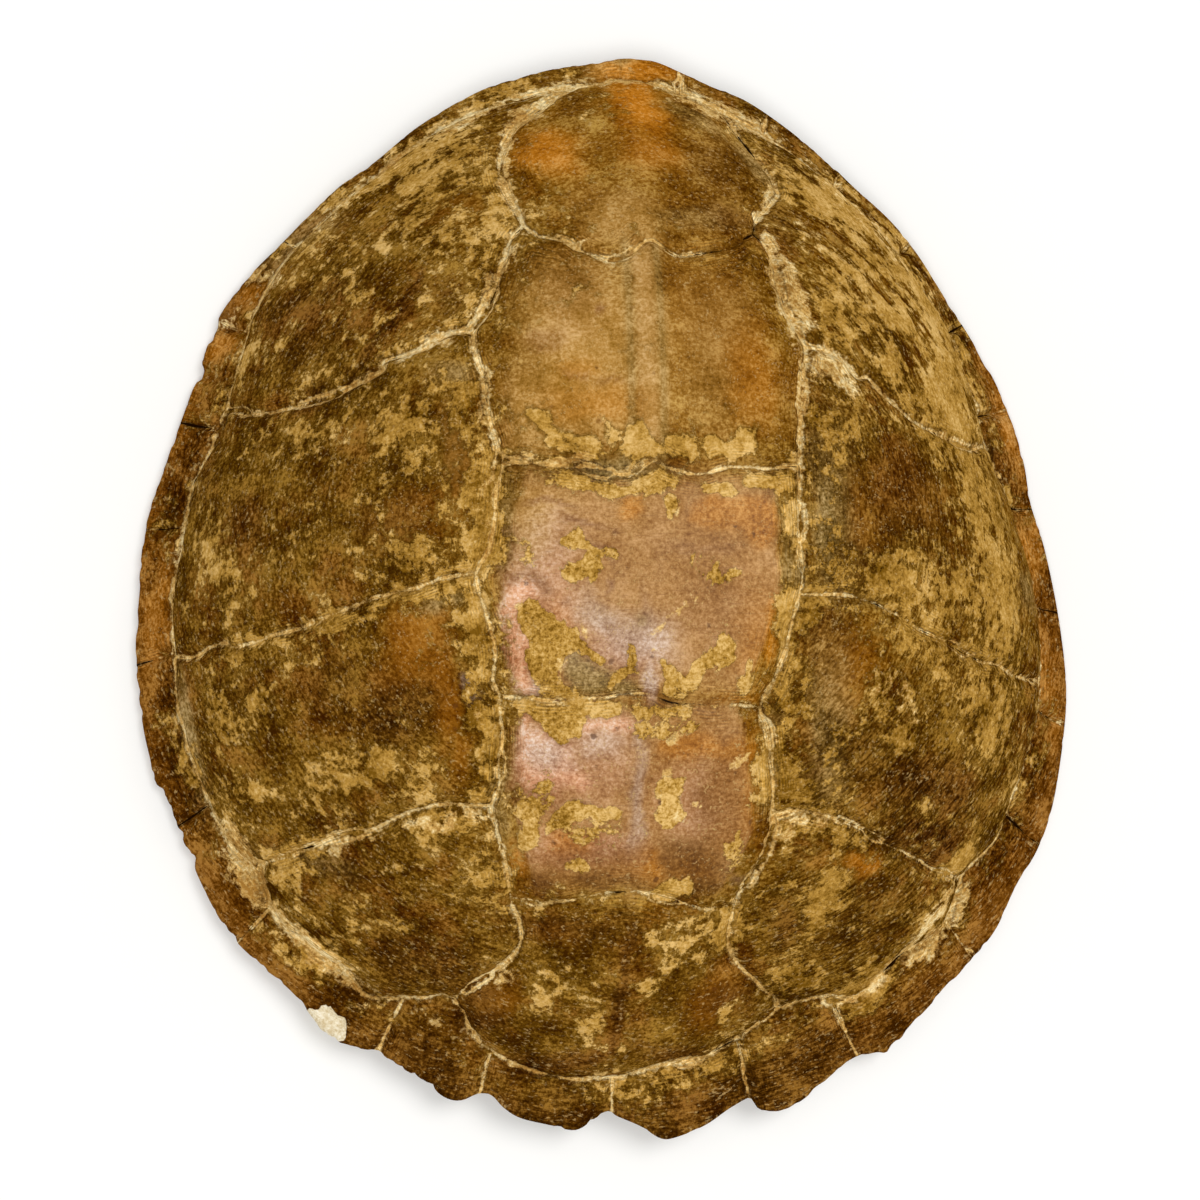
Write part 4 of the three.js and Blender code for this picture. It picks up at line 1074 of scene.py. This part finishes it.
bone = bpy.data.materials.new("dry_bone")
bone.use_nodes = True
tree = bone.node_tree
shader = tree.nodes["Principled BSDF"]
place = add(tree, "ShaderNodeTexCoord", out=3)
suture, depth = (add(tree, "ShaderNodeAttribute", out=2, attribute_name=name)
                 for name in ("suture", "depth"))
clouds = noise(tree, place, 25, 9, 0.65)
pores = noise(tree, place, 1.2, 3, 0.6)
colour = add(tree, "ShaderNodeValToRGB", {0: weighted(tree, clouds, (pores, 0.4))}, stops=zip(
    (0.5, 0.66, 0.82), ("#7d6034", "#b4965f", "#d6bf8f")))
stain = rise(tree, weighted(tree, depth, (clouds, -0.5)), -0.32, 0.05, 0.75, 0)
groove = rise(tree, maths(tree, "ABSOLUTE", suture), 0.35, 0.9, 0.7, 0)
groove = maths(tree, "MULTIPLY", groove, rise(tree, depth, 0.02, 0.06, curve="LINEAR"))
colour = layered(tree, colour, [(stain, linear("#5a3c14")), (groove, linear("#46300f"))])
tree.links.new(colour, shader.inputs["Base Color"])
shader.inputs["Roughness"].default_value = 0.75
shader.inputs["Specular IOR Level"].default_value = 0.2
height = weighted(tree, 0, (pores, 0.35), (clouds, 1.2), (groove, -0.6))
bump = add(tree, "ShaderNodeBump", {"Height": height, "Distance": MM, "Strength": 0.8})
tree.links.new(bump, shader.inputs["Normal"])
mesh.materials.append(bone)

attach(carapace, "root")
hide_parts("carapace")


# ---- the studio ----
# A plain pale table under a white sky, and two wide soft suns, both high above the shell: one
# from the tail and a weaker one from the head's right.

TABLE_REACH = 20
corners = [(x * TABLE_REACH, y * TABLE_REACH, 0) for x, y in [(-1, -1), (1, -1), (1, 1), (-1, 1)]]
floor_mesh = bpy.data.meshes.new("table_top")
floor_mesh.from_pydata(corners, [], [(0, 1, 2, 3)])
floor = bpy.data.objects.new("table_top", floor_mesh)
bpy.context.scene.collection.objects.link(floor)
pale = bpy.data.materials.new("pale_table")
pale.use_nodes = True
pale.node_tree.nodes["Principled BSDF"].inputs["Base Color"].default_value = linear("#f2f1ee")
pale.node_tree.nodes["Principled BSDF"].inputs["Roughness"].default_value = 0.9
floor_mesh.materials.append(pale)

# The sky lights the shell at 0.45 and is seen at full white.
world = bpy.data.worlds.new("studio")
world.use_nodes = True
seen = add(world.node_tree, "ShaderNodeLightPath")
strength = rise(world.node_tree, seen, 0, 1, 0.45, 1, "LINEAR")
backdrop = world.node_tree.nodes["Background"]
backdrop.inputs["Color"].default_value = linear("#ffffff")
world.node_tree.links.new(strength, backdrop.inputs["Strength"])
bpy.context.scene.world = world


def soft_light(name, place, strength):
    """A far light as wide in the sky as a big lamp cloth, shining from a place to the origin."""
    data = bpy.data.lights.new(name, "SUN")
    data.energy, data.angle = strength, 0.6
    lamp = bpy.data.objects.new(name, data)
    lamp.rotation_euler = Vector(place).to_track_quat("Z", "Y").to_euler()
    bpy.context.scene.collection.objects.link(lamp)


soft_light("tail_light", (-0.15, -0.4, 1.0), 1.45)
soft_light("head_light", (0.45, 0.35, 1.0), 1.15)

# The camera looks straight down on the back, leaning a little to the left flank and the tail.
# Its angles are in degrees and its lengths in metres.
CAMERA_DISTANCE = 0.771
CAMERA_LEAN = (-7, -6)
CAMERA_TURN = 0.66
CAMERA_TARGET = Vector((-0.0063, -0.0064, 0.0289))
HALF_FRAME = 0.2294
SENSOR_WIDTH = 36
lean_x, lean_y = np.tan(np.radians(CAMERA_LEAN))
away = Vector((lean_x, lean_y, 1)).normalized()
right = Vector((0, 1, 0)).cross(away).normalized()
camera_data = bpy.data.cameras.new("camera")
camera_data.sensor_width = SENSOR_WIDTH
camera_data.lens = SENSOR_WIDTH / 2 / HALF_FRAME
camera = bpy.data.objects.new("camera", camera_data)
basis = Matrix((right, away.cross(right), away)).transposed().to_4x4()
camera.matrix_world = (Matrix.Translation(CAMERA_TARGET + CAMERA_DISTANCE * away)
                       @ basis @ Matrix.Rotation(np.radians(CAMERA_TURN), 4, "Z"))
bpy.context.scene.collection.objects.link(camera)
bpy.context.scene.camera = camera
bpy.context.scene.view_settings.view_transform = "Standard"
